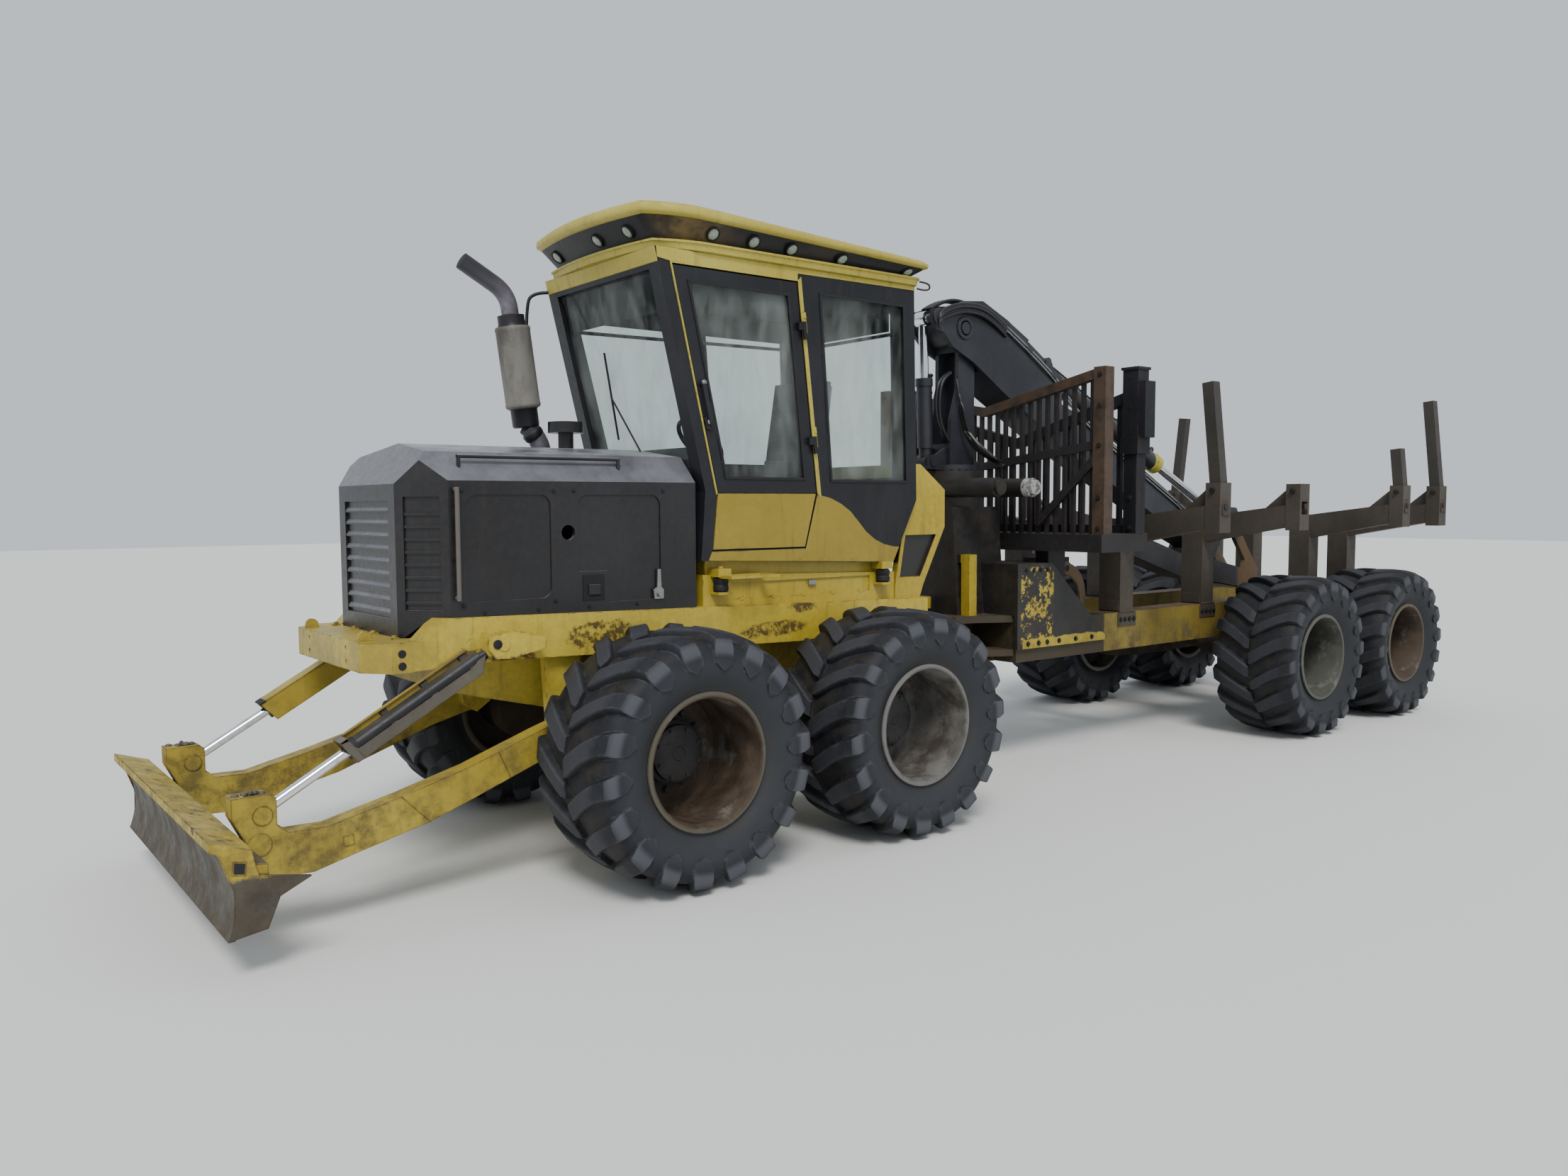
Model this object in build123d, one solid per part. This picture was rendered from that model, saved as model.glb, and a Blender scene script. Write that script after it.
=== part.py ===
from build123d import *
import math
import os

# Forestry forwarder, in millimetres and degrees.
# Stations run forward from the front bogie's centre, +Y is the machine's left,
# and heights are above the ground. The finished pieces are moved forward by
# origin_shift, so that the origin is on the ground at the middle of the length.

origin_shift = 2385.0

# Wheels and bogies
axle_height = 675.0
tyre_radius = 675.0
tyre_inner_y = 775.0
tyre_width = 700.0
bead_radius = 345.0
rim_flange_radius = 361.0
rim_wall = 25.0
rim_disc_y = 985.0
rim_disc_thickness = 25.0
hub_radius = 170.0
hub_outer_y = 1150.0
spindle_radius = 90.0
spindle_end_y = 1000.0
running_gap = 0.3
bogie_wheelbase = 1556.0
rear_bogie = -6265.0

# Tread
carcass_crown = tyre_radius - 42.0
crown_half = 250.0
lug_count = 18
lug_width = 78.0
lug_foot_radius = 560.0
lug_plan = ((104.0, 0.0), (8.0, 150.0), (-62.0, 290.0), (-70.0, 350.0))

# Bogie beams and axle
bogie_beam_inner = 610.0
bogie_beam_outer = 755.0
bogie_end_radius = 190.0
bogie_depth = 410.0
axle_tube_radius = 120.0
diff_radius = 185.0
diff_half_width = 170.0

# Front frame
beam_inner = 520.0
beam_outer = 640.0
beam_top_rear = (-1577.0, 1340.0)
beam_top_front = (1851.0, 1415.0)
nose_top = 1309.0
nose_slope_foot = 1958.0
nose_front = 2200.0
nose_chamfer = 110.0
nose_bottom = 1160.0
nose_wall = 60.0
belly_half = 430.0
belly_bottom = 870.0
floor_height = 1180.0
plate = 20.0

# Steering hinge
hinge_station = -2050.0
hinge_pin_radius = 60.0
hinge_barrel_radius = 130.0
front_lug_low = (720.0, 800.0)
front_lug_high = (1200.0, 1280.0)
rear_neck_low = (850.0, 900.0)
rear_neck_high = (1100.0, 1150.0)
steer_height = 1000.0
steer_base = (-1250.0, 380.0)
steer_eye = (-2170.0, 340.0)

# Blade
blade_pivot = (1150.0, 800.0)
blade_pivot_radius = 50.0
arm_inner = 640.0
arm_outer = 750.0
blade_half = 1120.0
blade_front = 3030.0
blade_ram_base = (1563.0, 1273.0)
blade_ram_eye = (blade_front - 301.0, 598.0)
blade_ram_y = 700.0
guard_half = 53.0
blade_beam_top = (blade_front - 230.0, 480.0)
blade_beam_foot = (blade_front - 240.0, 310.0)

# Hood and cab
hood_half = 620.0
hood_crease = 2100.0
hood_top = 2310.0
hood_rear = 300.0
hood_front = 1980.0
hood_front_half = 425.0
hood_skin = 25.0
hood_chamfer = 200.0
hood_hole = (1118.0, 1829.0)
handle_station = 1745.0
top_rail_stations = (1690.0, 765.0)
top_rail_height = 2225.0
air_cap = (742.0, -100.0)
side_panels = (((1220.0, 1690.0), (1486.0, 2030.0)), ((540.0, 1060.0), (1445.0, 2030.0)))
vent_half = 95.0
vent_span = (1450.0, 2020.0)
engine_top = 2050.0
exhaust_station = 800.0
exhaust_y = -300.0
exhaust_pipe = 58.0
cab_half = 650.0
cab_wall = 60.0
cab_floor = 1710.0
cab_top = 3400.0
roof_top_front = 3655.0
roof_top_rear = 3555.0

# Rear frame
rail_inner = 400.0
rail_outer = 600.0
rail_bottom = 800.0
rail_top = 1100.0
rail_front = -2540.0
frame_end = -7800.0

# Gates and bunks
platform_bottom = 1620.0
platform_top = 1750.0
platform_span = (-3350.0, -2800.0)
platform_half = 1150.0
headboard_station = -2870.0
load_gate_station = -3250.0
gate_post_y = 1100.0
bunk_stations = (-3890.0, -5060.0, -6890.0, -7650.0)
bunk_pocket_outer = 1450.0
bunk_pocket_inner = bunk_pocket_outer - 120.0
bunk_pocket_top = 2120.0
stake_size = 100.0
stake_lean = 6.0

# Crane
slew_station = -2480.0
housing_top = 2220.0
boom_pivot = (-2450.0, 3280.0)
boom_pin_radius = 45.0
boom_half = 130.0
boom_cheek = 160.0
lift_base = (-2200.0, 2285.0)
lift_eye = (-2170.0, 3340.0)
elbow = (-5860.0, 1660.0)
elbow_pin_radius = 40.0
fold_base = (-3420.0, 3100.0)
fold_eye = (-6200.0, 1840.0)
stick_tip = (-3620.0, 1895.0)
stick_half = 110.0
stick_cheek = (135.0, 175.0)
rotator_top = stick_tip[1] - 205.0
rotator_split = rotator_top - 130.0
rotator_radius = 110.0
jaw_pin_height = rotator_split - 120.0
jaw_pin_offset = 90.0
jaw_reach = 335.0
jaw_thickness = 80.0
jaw_drop = 515.0


def side_plate(points, y_from, y_to):
    """A plate drawn in side view as (station, height) corners."""
    corners = [(station, y_from, height) for station, height in points]
    return extrude(make_face(Polyline(*corners, close=True)), amount=y_to - y_from, dir=(0, 1, 0))


def cross_plate(points, x_from, x_to):
    """A plate drawn in front view as (y, height) corners."""
    corners = [(x_from, y, height) for y, height in points]
    return extrude(make_face(Polyline(*corners, close=True)), amount=x_to - x_from, dir=(1, 0, 0))


def plan_plate(points, z_from, z_to):
    """A plate drawn in plan as (station, y) corners."""
    corners = [(station, y, z_from) for station, y in points]
    return extrude(make_face(Polyline(*corners, close=True)), amount=z_to - z_from, dir=(0, 0, 1))


def block(x_span, y_span, z_span):
    size = [high - low for low, high in (x_span, y_span, z_span)]
    middle = [(low + high) / 2 for low, high in (x_span, y_span, z_span)]
    return Pos(*middle) * Box(*size)


def rod_between(start, end, radius):
    """A round bar between two points."""
    run = Vector(*end) - Vector(*start)
    return Plane(origin=start, z_dir=run) * Cylinder(
        radius, run.length, align=(Align.CENTER, Align.CENTER, Align.MIN)
    )


def cross_pin(point, radius, y_from, y_to):
    """A round bar across the machine at a (station, height) point."""
    return rod_between((point[0], y_from, point[1]), (point[0], y_to, point[1]), radius)


def upright_pin(station, y, radius, z_from, z_to):
    return rod_between((station, y, z_from), (station, y, z_to), radius)


def mirrored(shape):
    return mirror(shape, about=Plane.XZ)


def both_sides(shape):
    return shape + mirrored(shape)


def mirror_points_about(station, points):
    """Closes a side-view outline whose front half is given as (distance ahead of station, height)."""
    return [(station + x, z) for x, z in points] + [(station - x, z) for x, z in reversed(points)]


def mirror_points(points):
    """Closes a half outline drawn from (first, +y) corners by mirroring it."""
    return points + [(first, -y) for first, y in reversed(points)]


def spun_about_y(profile):
    """Turns (radius, y) corners about the wheel's axle line at station 0."""
    corners = [(radius, y, 0) for radius, y in profile]
    face = make_face(Polyline(*corners, close=True))
    return revolve(face, Axis.Y, 360)


def ram(base, eye, pin_axis, barrel_length, sizes, rod_start, eye_width, pin_radius):
    """A cylinder's barrel and rod. sizes holds the barrel's, rod's and eyes' radii."""
    barrel_radius, rod_radius, eye_radius = sizes
    neck_length = eye_radius + 50
    neck_radius = min(barrel_radius, eye_width / 2) - 4
    start = Vector(*base)
    end = Vector(*eye)
    across = Vector(*pin_axis) * (eye_width / 2)
    along = (end - start).normalized()
    mouth = start + along * barrel_length
    gland = start + along * (barrel_length - barrel_radius)
    bore_start = start + along * (neck_length + 15)
    barrel = rod_between(tuple(start + along * neck_length), tuple(mouth), barrel_radius)
    barrel += rod_between(
        tuple(start + along * (pin_radius + 5)), tuple(start + along * (neck_length + 10)), neck_radius
    )
    barrel += rod_between(tuple(gland), tuple(mouth), barrel_radius * 1.12)
    barrel += rod_between(tuple(start - across), tuple(start + across), eye_radius)
    pin_reach = across * 1.1
    barrel -= rod_between(
        tuple(start - pin_reach), tuple(start + pin_reach), pin_radius + running_gap
    )
    barrel -= rod_between(tuple(bore_start), tuple(mouth + along * 5), rod_radius + running_gap)
    rod = rod_between(tuple(start + along * rod_start), tuple(end - along * (pin_radius + 4)), rod_radius)
    rod += rod_between(tuple(end - across), tuple(end + across), eye_radius)
    rod -= rod_between(tuple(end - pin_reach), tuple(end + pin_reach), pin_radius)
    return barrel, rod


def beam_top(station):
    """Height of the front frame's side beam at a station."""
    rear_x, rear_z = beam_top_rear
    front_x, front_z = beam_top_front
    return rear_z + (front_z - rear_z) * (station - rear_x) / (front_x - rear_x)


nodes = {}


def make_tyre(bead_inner, bead_outer):
    """A left-hand tyre about station 0: the carcass, with lugs fused on that meet in a V at the crown."""
    half = tyre_width / 2
    middle = tyre_inner_y + half
    # Half sections as (radius, distance from the tyre's middle), from the crown down.
    carcass = [(carcass_crown, crown_half), (tyre_radius - 85, half - 20), (tyre_radius - 155, half - 10)]
    envelope = [(tyre_radius, crown_half + 10), (tyre_radius - 18, half - 45), (tyre_radius - 75, half - 4),
                (lug_foot_radius, half), (lug_foot_radius, half - 25), (carcass_crown - 30, crown_half - 30)]
    bead = [(bead_radius + 55, -25), (bead_radius + 20, 0), (bead_radius + running_gap, 0)]
    outer_side = [(radius, middle + out) for radius, out in carcass]
    outer_side += [(bead[0][0], middle + half - 25), (bead[1][0], bead_outer), (bead[2][0], bead_outer)]
    inner_side = [(radius, middle - out) for radius, out in carcass]
    inner_side += [(bead[0][0], middle - half + 25), (bead[1][0], bead_inner), (bead[2][0], bead_inner)]
    tyre = spun_about_y([*outer_side, *inner_side[::-1]])
    cap = spun_about_y(
        [(radius, middle + out) for radius, out in envelope]
        + [(radius, middle - out) for radius, out in reversed(envelope)]
    )
    lugs = []
    for side, start in ((1, 0.0), (-1, 0.5)):
        front_edge = [(x + lug_width / 2, middle + side * out) for x, out in lug_plan]
        rear_edge = [(x - lug_width / 2, middle + side * out) for x, out in reversed(lug_plan)]
        bar = plan_plate([*front_edge, *rear_edge], lug_foot_radius, tyre_radius + 10)
        lug = bar & cap
        lugs += [Rot(0, (i + start) * 360 / lug_count, 0) * lug for i in range(lug_count)]
    return tyre + lugs


def make_wheels():
    """Tyre and rim at each of the eight wheel places."""
    bead_inner = tyre_inner_y + 47
    bead_outer = tyre_inner_y + tyre_width - 67
    tyre = make_tyre(bead_inner, bead_outer)
    inner_radius = bead_radius - rim_wall
    rim_inner = bead_inner - 22
    rim_outer = bead_outer + 22
    disc_outer = rim_disc_y + rim_disc_thickness
    rim = spun_about_y([
        (rim_flange_radius, rim_inner),
        (rim_flange_radius, rim_inner + 20),
        (bead_radius, rim_inner + 20),
        (bead_radius, rim_outer - 20),
        (rim_flange_radius, rim_outer - 20),
        (rim_flange_radius, rim_outer),
        (inner_radius + 8, rim_outer),
        (inner_radius, rim_outer - 30),
        (inner_radius, disc_outer),
        (hub_radius, disc_outer),
        (hub_radius, hub_outer_y - 40),
        (hub_radius - 30, hub_outer_y),
        (0, hub_outer_y),
        (0, spindle_end_y + 5),
        (spindle_radius + running_gap, spindle_end_y + 5),
        (spindle_radius + running_gap, rim_inner - 10),
        (hub_radius, rim_inner - 10),
        (hub_radius, rim_disc_y),
        (inner_radius, rim_disc_y),
        (inner_radius, rim_inner),
    ])
    for bogie_name, bogie in (("front", 0.0), ("rear", rear_bogie)):
        for end_name, end in (("lead", 1), ("trail", -1)):
            place = Pos(bogie + end * bogie_wheelbase / 2, 0, axle_height)
            for side_name, side in (("left", 1), ("right", -1)):
                wheel = f"{bogie_name}_{end_name}_{side_name}"
                tyre_here = tyre if side == 1 else mirrored(tyre)
                rim_here = rim if side == 1 else mirrored(rim)
                nodes["tyre_" + wheel] = place * tyre_here
                nodes["rim_" + wheel] = place * rim_here


def bogie_axle(bogie, saddle):
    """Centre housing, two bogie beams, spindles and saddles. saddle is (inner y, outer y, top)."""
    reach = bogie_wheelbase / 2
    half_depth = bogie_depth / 2
    outline = [
        (-reach, axle_height - bogie_end_radius),
        (-150, axle_height - half_depth),
        (150, axle_height - half_depth),
        (reach, axle_height - bogie_end_radius),
        (reach, axle_height + bogie_end_radius),
        (150, axle_height + half_depth),
        (-150, axle_height + half_depth),
        (-reach, axle_height + bogie_end_radius),
    ]
    beam = side_plate(outline, bogie_beam_inner, bogie_beam_outer)
    for end in (-reach, reach):
        beam += cross_pin((end, axle_height), bogie_end_radius, bogie_beam_inner, bogie_beam_outer)
        beam += cross_pin((end, axle_height), spindle_radius, bogie_beam_inner, spindle_end_y)
    inner, outer, top = saddle
    beam += block((-140, 140), (inner, outer), (axle_height, top))
    tube = cross_pin((0, axle_height), axle_tube_radius, -bogie_beam_inner - 5, bogie_beam_inner + 5)
    housing = revolve(
        make_face(Polyline(
            (0, -diff_half_width, 0),
            (diff_radius - 40, -diff_half_width, 0),
            (diff_radius, -diff_half_width + 50, 0),
            (diff_radius, diff_half_width - 50, 0),
            (diff_radius - 40, diff_half_width, 0),
            (0, diff_half_width, 0),
            close=True,
        )),
        Axis.Y,
        360,
    )
    return Pos(bogie, 0, 0) * (tube + Pos(0, 0, axle_height) * housing + beam + mirrored(beam))


def make_front_frame():
    top = [beam_top_rear, beam_top_front, (nose_slope_foot, nose_top), (nose_front - nose_chamfer, nose_top)]
    bottom = [
        (nose_front - nose_chamfer, nose_bottom),
        (1536, floor_height),
        (-484, 1128),
        (beam_top_rear[0], 1222),
    ]
    frame = both_sides(side_plate(top + bottom, beam_inner, beam_outer))

    nose_corner = nose_front - nose_chamfer
    nose_outline = mirror_points([
        (nose_corner - 100, beam_outer),
        (nose_corner, beam_outer),
        (nose_front, beam_outer - 140),
    ])
    nose_pocket = mirror_points([
        (nose_corner - 90, beam_inner - 1),
        (nose_corner - nose_wall, beam_inner - 1),
        (nose_front - nose_wall, beam_outer - 200),
    ])
    nose = plan_plate(nose_outline, nose_bottom, nose_top)
    nose -= plan_plate(nose_pocket, nose_bottom - 1, nose_top - plate)
    deck = block((nose_slope_foot - 60, nose_corner), (-beam_inner - 1, beam_inner + 1), (nose_top - plate, nose_top))
    frame += nose + deck
    for y in (-300, 300):
        for height in (nose_bottom + 40, nose_bottom + 110):
            frame -= rod_between((nose_front - nose_wall - 10, y, height), (nose_front + 10, y, height), 11)

    frame += block((-1500, 1990), (-beam_inner - 1, beam_inner + 1), (floor_height, floor_height + plate))
    rear_x = beam_top_rear[0]
    frame += block((rear_x, rear_x + 60), (-beam_inner - 1, beam_inner + 1), (floor_height + 40, 1335))

    belly = [
        (-1000, belly_bottom),
        (1174, belly_bottom),
        (1739, 1012),
        (1739, floor_height + 1),
        (-1000, floor_height + 1),
    ]
    hollow = [
        (-1000 + plate, belly_bottom + plate),
        (1174, belly_bottom + plate),
        (1739 - plate, 1012 + plate),
        (1739 - plate, floor_height),
        (-1000 + plate, floor_height),
    ]
    frame += side_plate(belly, -belly_half, belly_half) - side_plate(
        hollow, -belly_half + plate, belly_half - plate
    )

    neck_half = 280
    neck = block((-1700, -900), (-neck_half, neck_half), (front_lug_low[0], front_lug_high[1]))
    neck -= block((-1740, -940), (-neck_half + 40, neck_half - 40), (front_lug_low[1], front_lug_high[0] - 20))
    for low, high in (front_lug_low, front_lug_high):
        lug = plan_plate(
            mirror_points([(-1000, 420), (-1600, 300), (hinge_station, 150)]), low, high
        )
        lug += upright_pin(hinge_station, 0, 150, low, high)
        neck += lug
    neck -= upright_pin(hinge_station, 0, hinge_pin_radius + running_gap, 600, 1400)
    frame += neck

    for low, high in ((steer_height - 70, steer_height - 35), (steer_height + 35, steer_height + 70)):
        ear = block((steer_base[0] - 55, steer_base[0] + 200), (neck_half - 5, steer_base[1] + 50), (low, high))
        frame += both_sides(ear)
    frame += both_sides(upright_pin(steer_base[0], steer_base[1], 25, steer_height - 70, steer_height + 70))

    hanger_outline = [
        (1040, floor_height - 5),
        (1260, floor_height - 5),
        (1235, blade_pivot[1] - 30),
        (blade_pivot[0], blade_pivot[1] - 90),
        (1065, blade_pivot[1] - 30),
    ]
    hanger = side_plate(hanger_outline, beam_inner + 20, beam_inner + 65)
    hanger += cross_pin(blade_pivot, blade_pivot_radius, beam_inner + 20, arm_outer + 8)
    hanger += cross_pin(blade_pivot, 80, beam_inner + 60, arm_inner - 5)
    hanger += block((1040, 1260), (beam_inner, beam_inner + 65), (floor_height - 10, floor_height + 10))
    frame += both_sides(hanger)

    bracket_outline = [
        (1520, 1200),
        (1600, 1205),
        (1640, 1250),
        (1630, 1325),
        (1500, 1335),
        (1330, 1300),
        (1330, 1240),
    ]
    bracket = side_plate(bracket_outline, beam_outer - 5, beam_outer + 24)
    bracket += side_plate(bracket_outline, blade_ram_y + 36, blade_ram_y + 60)
    bracket += block((1330, 1370), (beam_outer - 5, blade_ram_y + 60), (1245, 1295))
    bracket += cross_pin(blade_ram_base, 30, beam_outer, blade_ram_y + 66)
    frame += both_sides(bracket)
    nodes["front_frame"] = frame


def make_axles():
    nodes["front_axle"] = bogie_axle(0, (210, 410, belly_bottom))
    nodes["rear_axle"] = bogie_axle(rear_bogie, (rail_inner, rail_outer, rail_bottom))


def on_chamfer(side, form):
    """Places a form on the hood's left (1) or right (-1) front chamfer, with its X pointing outwards."""
    width = hood_half - hood_front_half
    turn = side * math.degrees(math.atan2(hood_chamfer, width))
    middle = (hood_front - hood_chamfer / 2, side * (hood_half + hood_front_half) / 2, 0)
    return Pos(*middle) * Rot(0, 0, turn) * form


def rounded_panel(stations, heights, corner, y_from, y_to):
    """A plate with rounded corners, standing across the machine's Y."""
    width = stations[1] - stations[0]
    height = heights[1] - heights[0]
    middle = (sum(stations) / 2, (y_from + y_to) / 2, sum(heights) / 2)
    outline = RectangleRounded(width, height, corner)
    return Pos(*middle) * Rot(90, 0, 0) * extrude(outline, abs(y_to - y_from) / 2, both=True)


def make_hood():
    def hood_form(inset, bottom_drop):
        half = hood_half - inset
        crease = hood_crease - inset * 0.6
        peak = hood_top - inset
        front = hood_front - inset
        cross = mirror_points_yz([
            (half, nose_top - 10),
            (half, crease),
            (half - 150, crease + 150),
            (0, peak),
        ])
        plan = mirror_points([
            (hood_rear - 50, half),
            (front - hood_chamfer, half),
            (front, hood_front_half - inset),
        ])
        side = [
            (hood_rear - bottom_drop, beam_top(hood_rear) - bottom_drop),
            (beam_top_front[0], beam_top_front[1] - bottom_drop),
            (nose_slope_foot, nose_top - bottom_drop),
            (front, nose_top - bottom_drop),
            (front, crease - 15),
            (front - 190, peak + 5),
            (hood_rear - bottom_drop, peak + 5),
        ]
        form = cross_plate(cross, hood_rear - 60, hood_front + 10)
        form &= plan_plate(plan, nose_top - 20, hood_top + 20)
        form &= side_plate(side, -hood_half - 10, hood_half + 10)
        return form

    hood = hood_form(0, 0) - hood_form(hood_skin, 5)
    for side in (-1, 1):
        outer = side * (hood_half + 10)
        inner = side * (hood_half - hood_skin - 10)
        y_span = (min(outer, inner), max(outer, inner))
        hood -= on_chamfer(side, block((-40, 10), (-vent_half, vent_half), vent_span))
        hood -= cross_pin(hood_hole, 40, *y_span)
        for stations, heights in side_panels:
            hood -= rounded_panel(stations, heights, 60, side * (hood_half + 10), side * (hood_half - 8))
    hood -= block((hood_front - 40, hood_front + 10), (-330, 330), (1400, 2000))
    for side in (-1, 1):
        y = side * (hood_half + 30)
        foot = side * (hood_half - 10)
        low, high = 1510, 2055
        for height in (low, high):
            hood += rod_between((handle_station, foot, height), (handle_station, y, height), 12)
        hood += rod_between((handle_station, y, low - 12), (handle_station, y, high + 12), 12)
        rail_y = side * (hood_half - 75)
        for station in top_rail_stations:
            hood += rod_between((station, rail_y, 2130), (station, rail_y, top_rail_height), 10)
        front, rear = top_rail_stations
        hood += rod_between((rear - 10, rail_y, top_rail_height), (front + 10, rail_y, top_rail_height), 10)
    hood += upright_pin(*air_cap, 45, hood_top - 60, hood_top + 100)
    hood += upright_pin(*air_cap, 105, hood_top + 95, hood_top + 160)
    hood -= upright_pin(exhaust_station, exhaust_y, exhaust_pipe + 8, hood_top - 200, hood_top + 20)
    nodes["hood"] = hood


def mirror_points_yz(points):
    """Closes a half front view drawn from (+y, height) corners by mirroring it."""
    mirror_half = [(-y, height) for y, height in reversed(points) if y > 0]
    return points + mirror_half


def make_grille():
    """Louvred panels: the front one, then one in each of the hood's chamfered corners."""
    front = block((hood_front - 35, hood_front - 15), (-330, 330), (1400, 2000))
    for step in range(9):
        height = 1440 + step * 65
        front += side_plate(
            [
                (hood_front - 16, height),
                (hood_front - 2, height - 18),
                (hood_front - 2, height - 8),
                (hood_front - 16, height + 10),
            ],
            -325,
            325,
        )
    low, high = vent_span
    panel = block((-30, -15), (-vent_half, vent_half), vent_span)
    for step in range(8):
        height = low + 30 + step * (high - low - 60) / 8
        panel += block((-16, -4), (-vent_half + 2, vent_half - 2), (height, height + 14))
    nodes["hood_grille"] = front + on_chamfer(1, panel) + on_chamfer(-1, panel)


def make_engine_and_exhaust():
    nodes["engine_block"] = block((700, 1550), (-380, 380), (floor_height + plate, engine_top))
    # Places along the exhaust's line as (station, height), low to high.
    y = exhaust_y
    foot = (exhaust_station, hood_top + 30)
    silencer_low = (915, 2560)
    silencer_high = (978, 3036)
    bend = (1006, 3230)
    tip = (1285, 3385)
    lower = (silencer_low[0] - 20, y, silencer_low[1] - 110)
    exhaust = Pos(*lower) * Sphere(exhaust_pipe)
    exhaust += rod_between((foot[0], y, engine_top), (foot[0], y, foot[1]), exhaust_pipe)
    exhaust += rod_between((foot[0], y, foot[1]), lower, exhaust_pipe)
    exhaust += Pos(foot[0], y, foot[1]) * Sphere(exhaust_pipe)
    exhaust += rod_between(lower, (silencer_low[0], y, silencer_low[1] + 5), 75)
    exhaust += rod_between(
        (silencer_low[0], y, silencer_low[1]), (silencer_high[0], y, silencer_high[1]), 105
    )
    exhaust += rod_between(
        (silencer_high[0], y, silencer_high[1] - 5), (silencer_high[0] + 10, y, silencer_high[1] + 70), 78
    )
    exhaust += rod_between((silencer_high[0], y, silencer_high[1]), (bend[0], y, bend[1]), 52)
    exhaust += Pos(bend[0], y, bend[1]) * Sphere(52)
    exhaust += rod_between((bend[0], y, bend[1]), (tip[0], y, tip[1]), 52)
    exhaust -= rod_between((bend[0] + 60, y, bend[1] + 33), (tip[0] + 56, y, tip[1] + 31), 44)
    nodes["exhaust"] = exhaust


# Cab corners in side view as (station, height)
cab_outline = [
    (283, 1650),
    (250, 2050),
    (567, 3370),
    (575, cab_top),
    (-1430, cab_top),
    (-1457, 2000),
    (-1243, 1590),
]
door_outline = [
    (205, 1705),
    (168, 2040),
    (465, 3320),
    (-440, 3320),
    (-590, 2040),
    (-500, 1705),
]
door_split = 2040.0
door_hinges = (2330.0, 3020.0)
door_hinge_y = cab_half + 20
quarter_window = [(-700, 2110), (-610, 3270), (-1340, 3270), (-1375, 2110)]
side_window = [(110, 2110), (405, 3270), (-430, 3270), (-560, 2110)]
windscreen_span = (2130.0, 3290.0)
windscreen_half = 545.0
rear_window_half = 480.0
rear_window_span = (2150.0, 3250.0)


def front_face_station(height):
    """Station of the cab's leaning front face at a height."""
    low_x, low_z = cab_outline[1]
    high_x, high_z = cab_outline[2]
    return low_x + (high_x - low_x) * (height - low_z) / (high_z - low_z)


def rear_face_station(height):
    """Station of the cab's rear face at a height."""
    high_x, high_z = cab_outline[4]
    low_x, low_z = cab_outline[5]
    return low_x + (high_x - low_x) * (height - low_z) / (high_z - low_z)


def hinge_point(height):
    """A point on the door's hinge line, just outside its rear edge."""
    high_x, high_z = door_outline[3]
    low_x, low_z = door_outline[4]
    station = low_x + (high_x - low_x) * (height - low_z) / (high_z - low_z)
    return (station - 6, door_hinge_y, height)


def grown(outline, gap):
    """An outline drawn in from or, with a negative gap, out past its middle."""
    middle_x = sum(x for x, _ in outline) / len(outline)
    middle_z = sum(z for _, z in outline) / len(outline)
    return [
        (x - math.copysign(gap, x - middle_x), z - math.copysign(gap, z - middle_z))
        for x, z in outline
    ]


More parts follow.
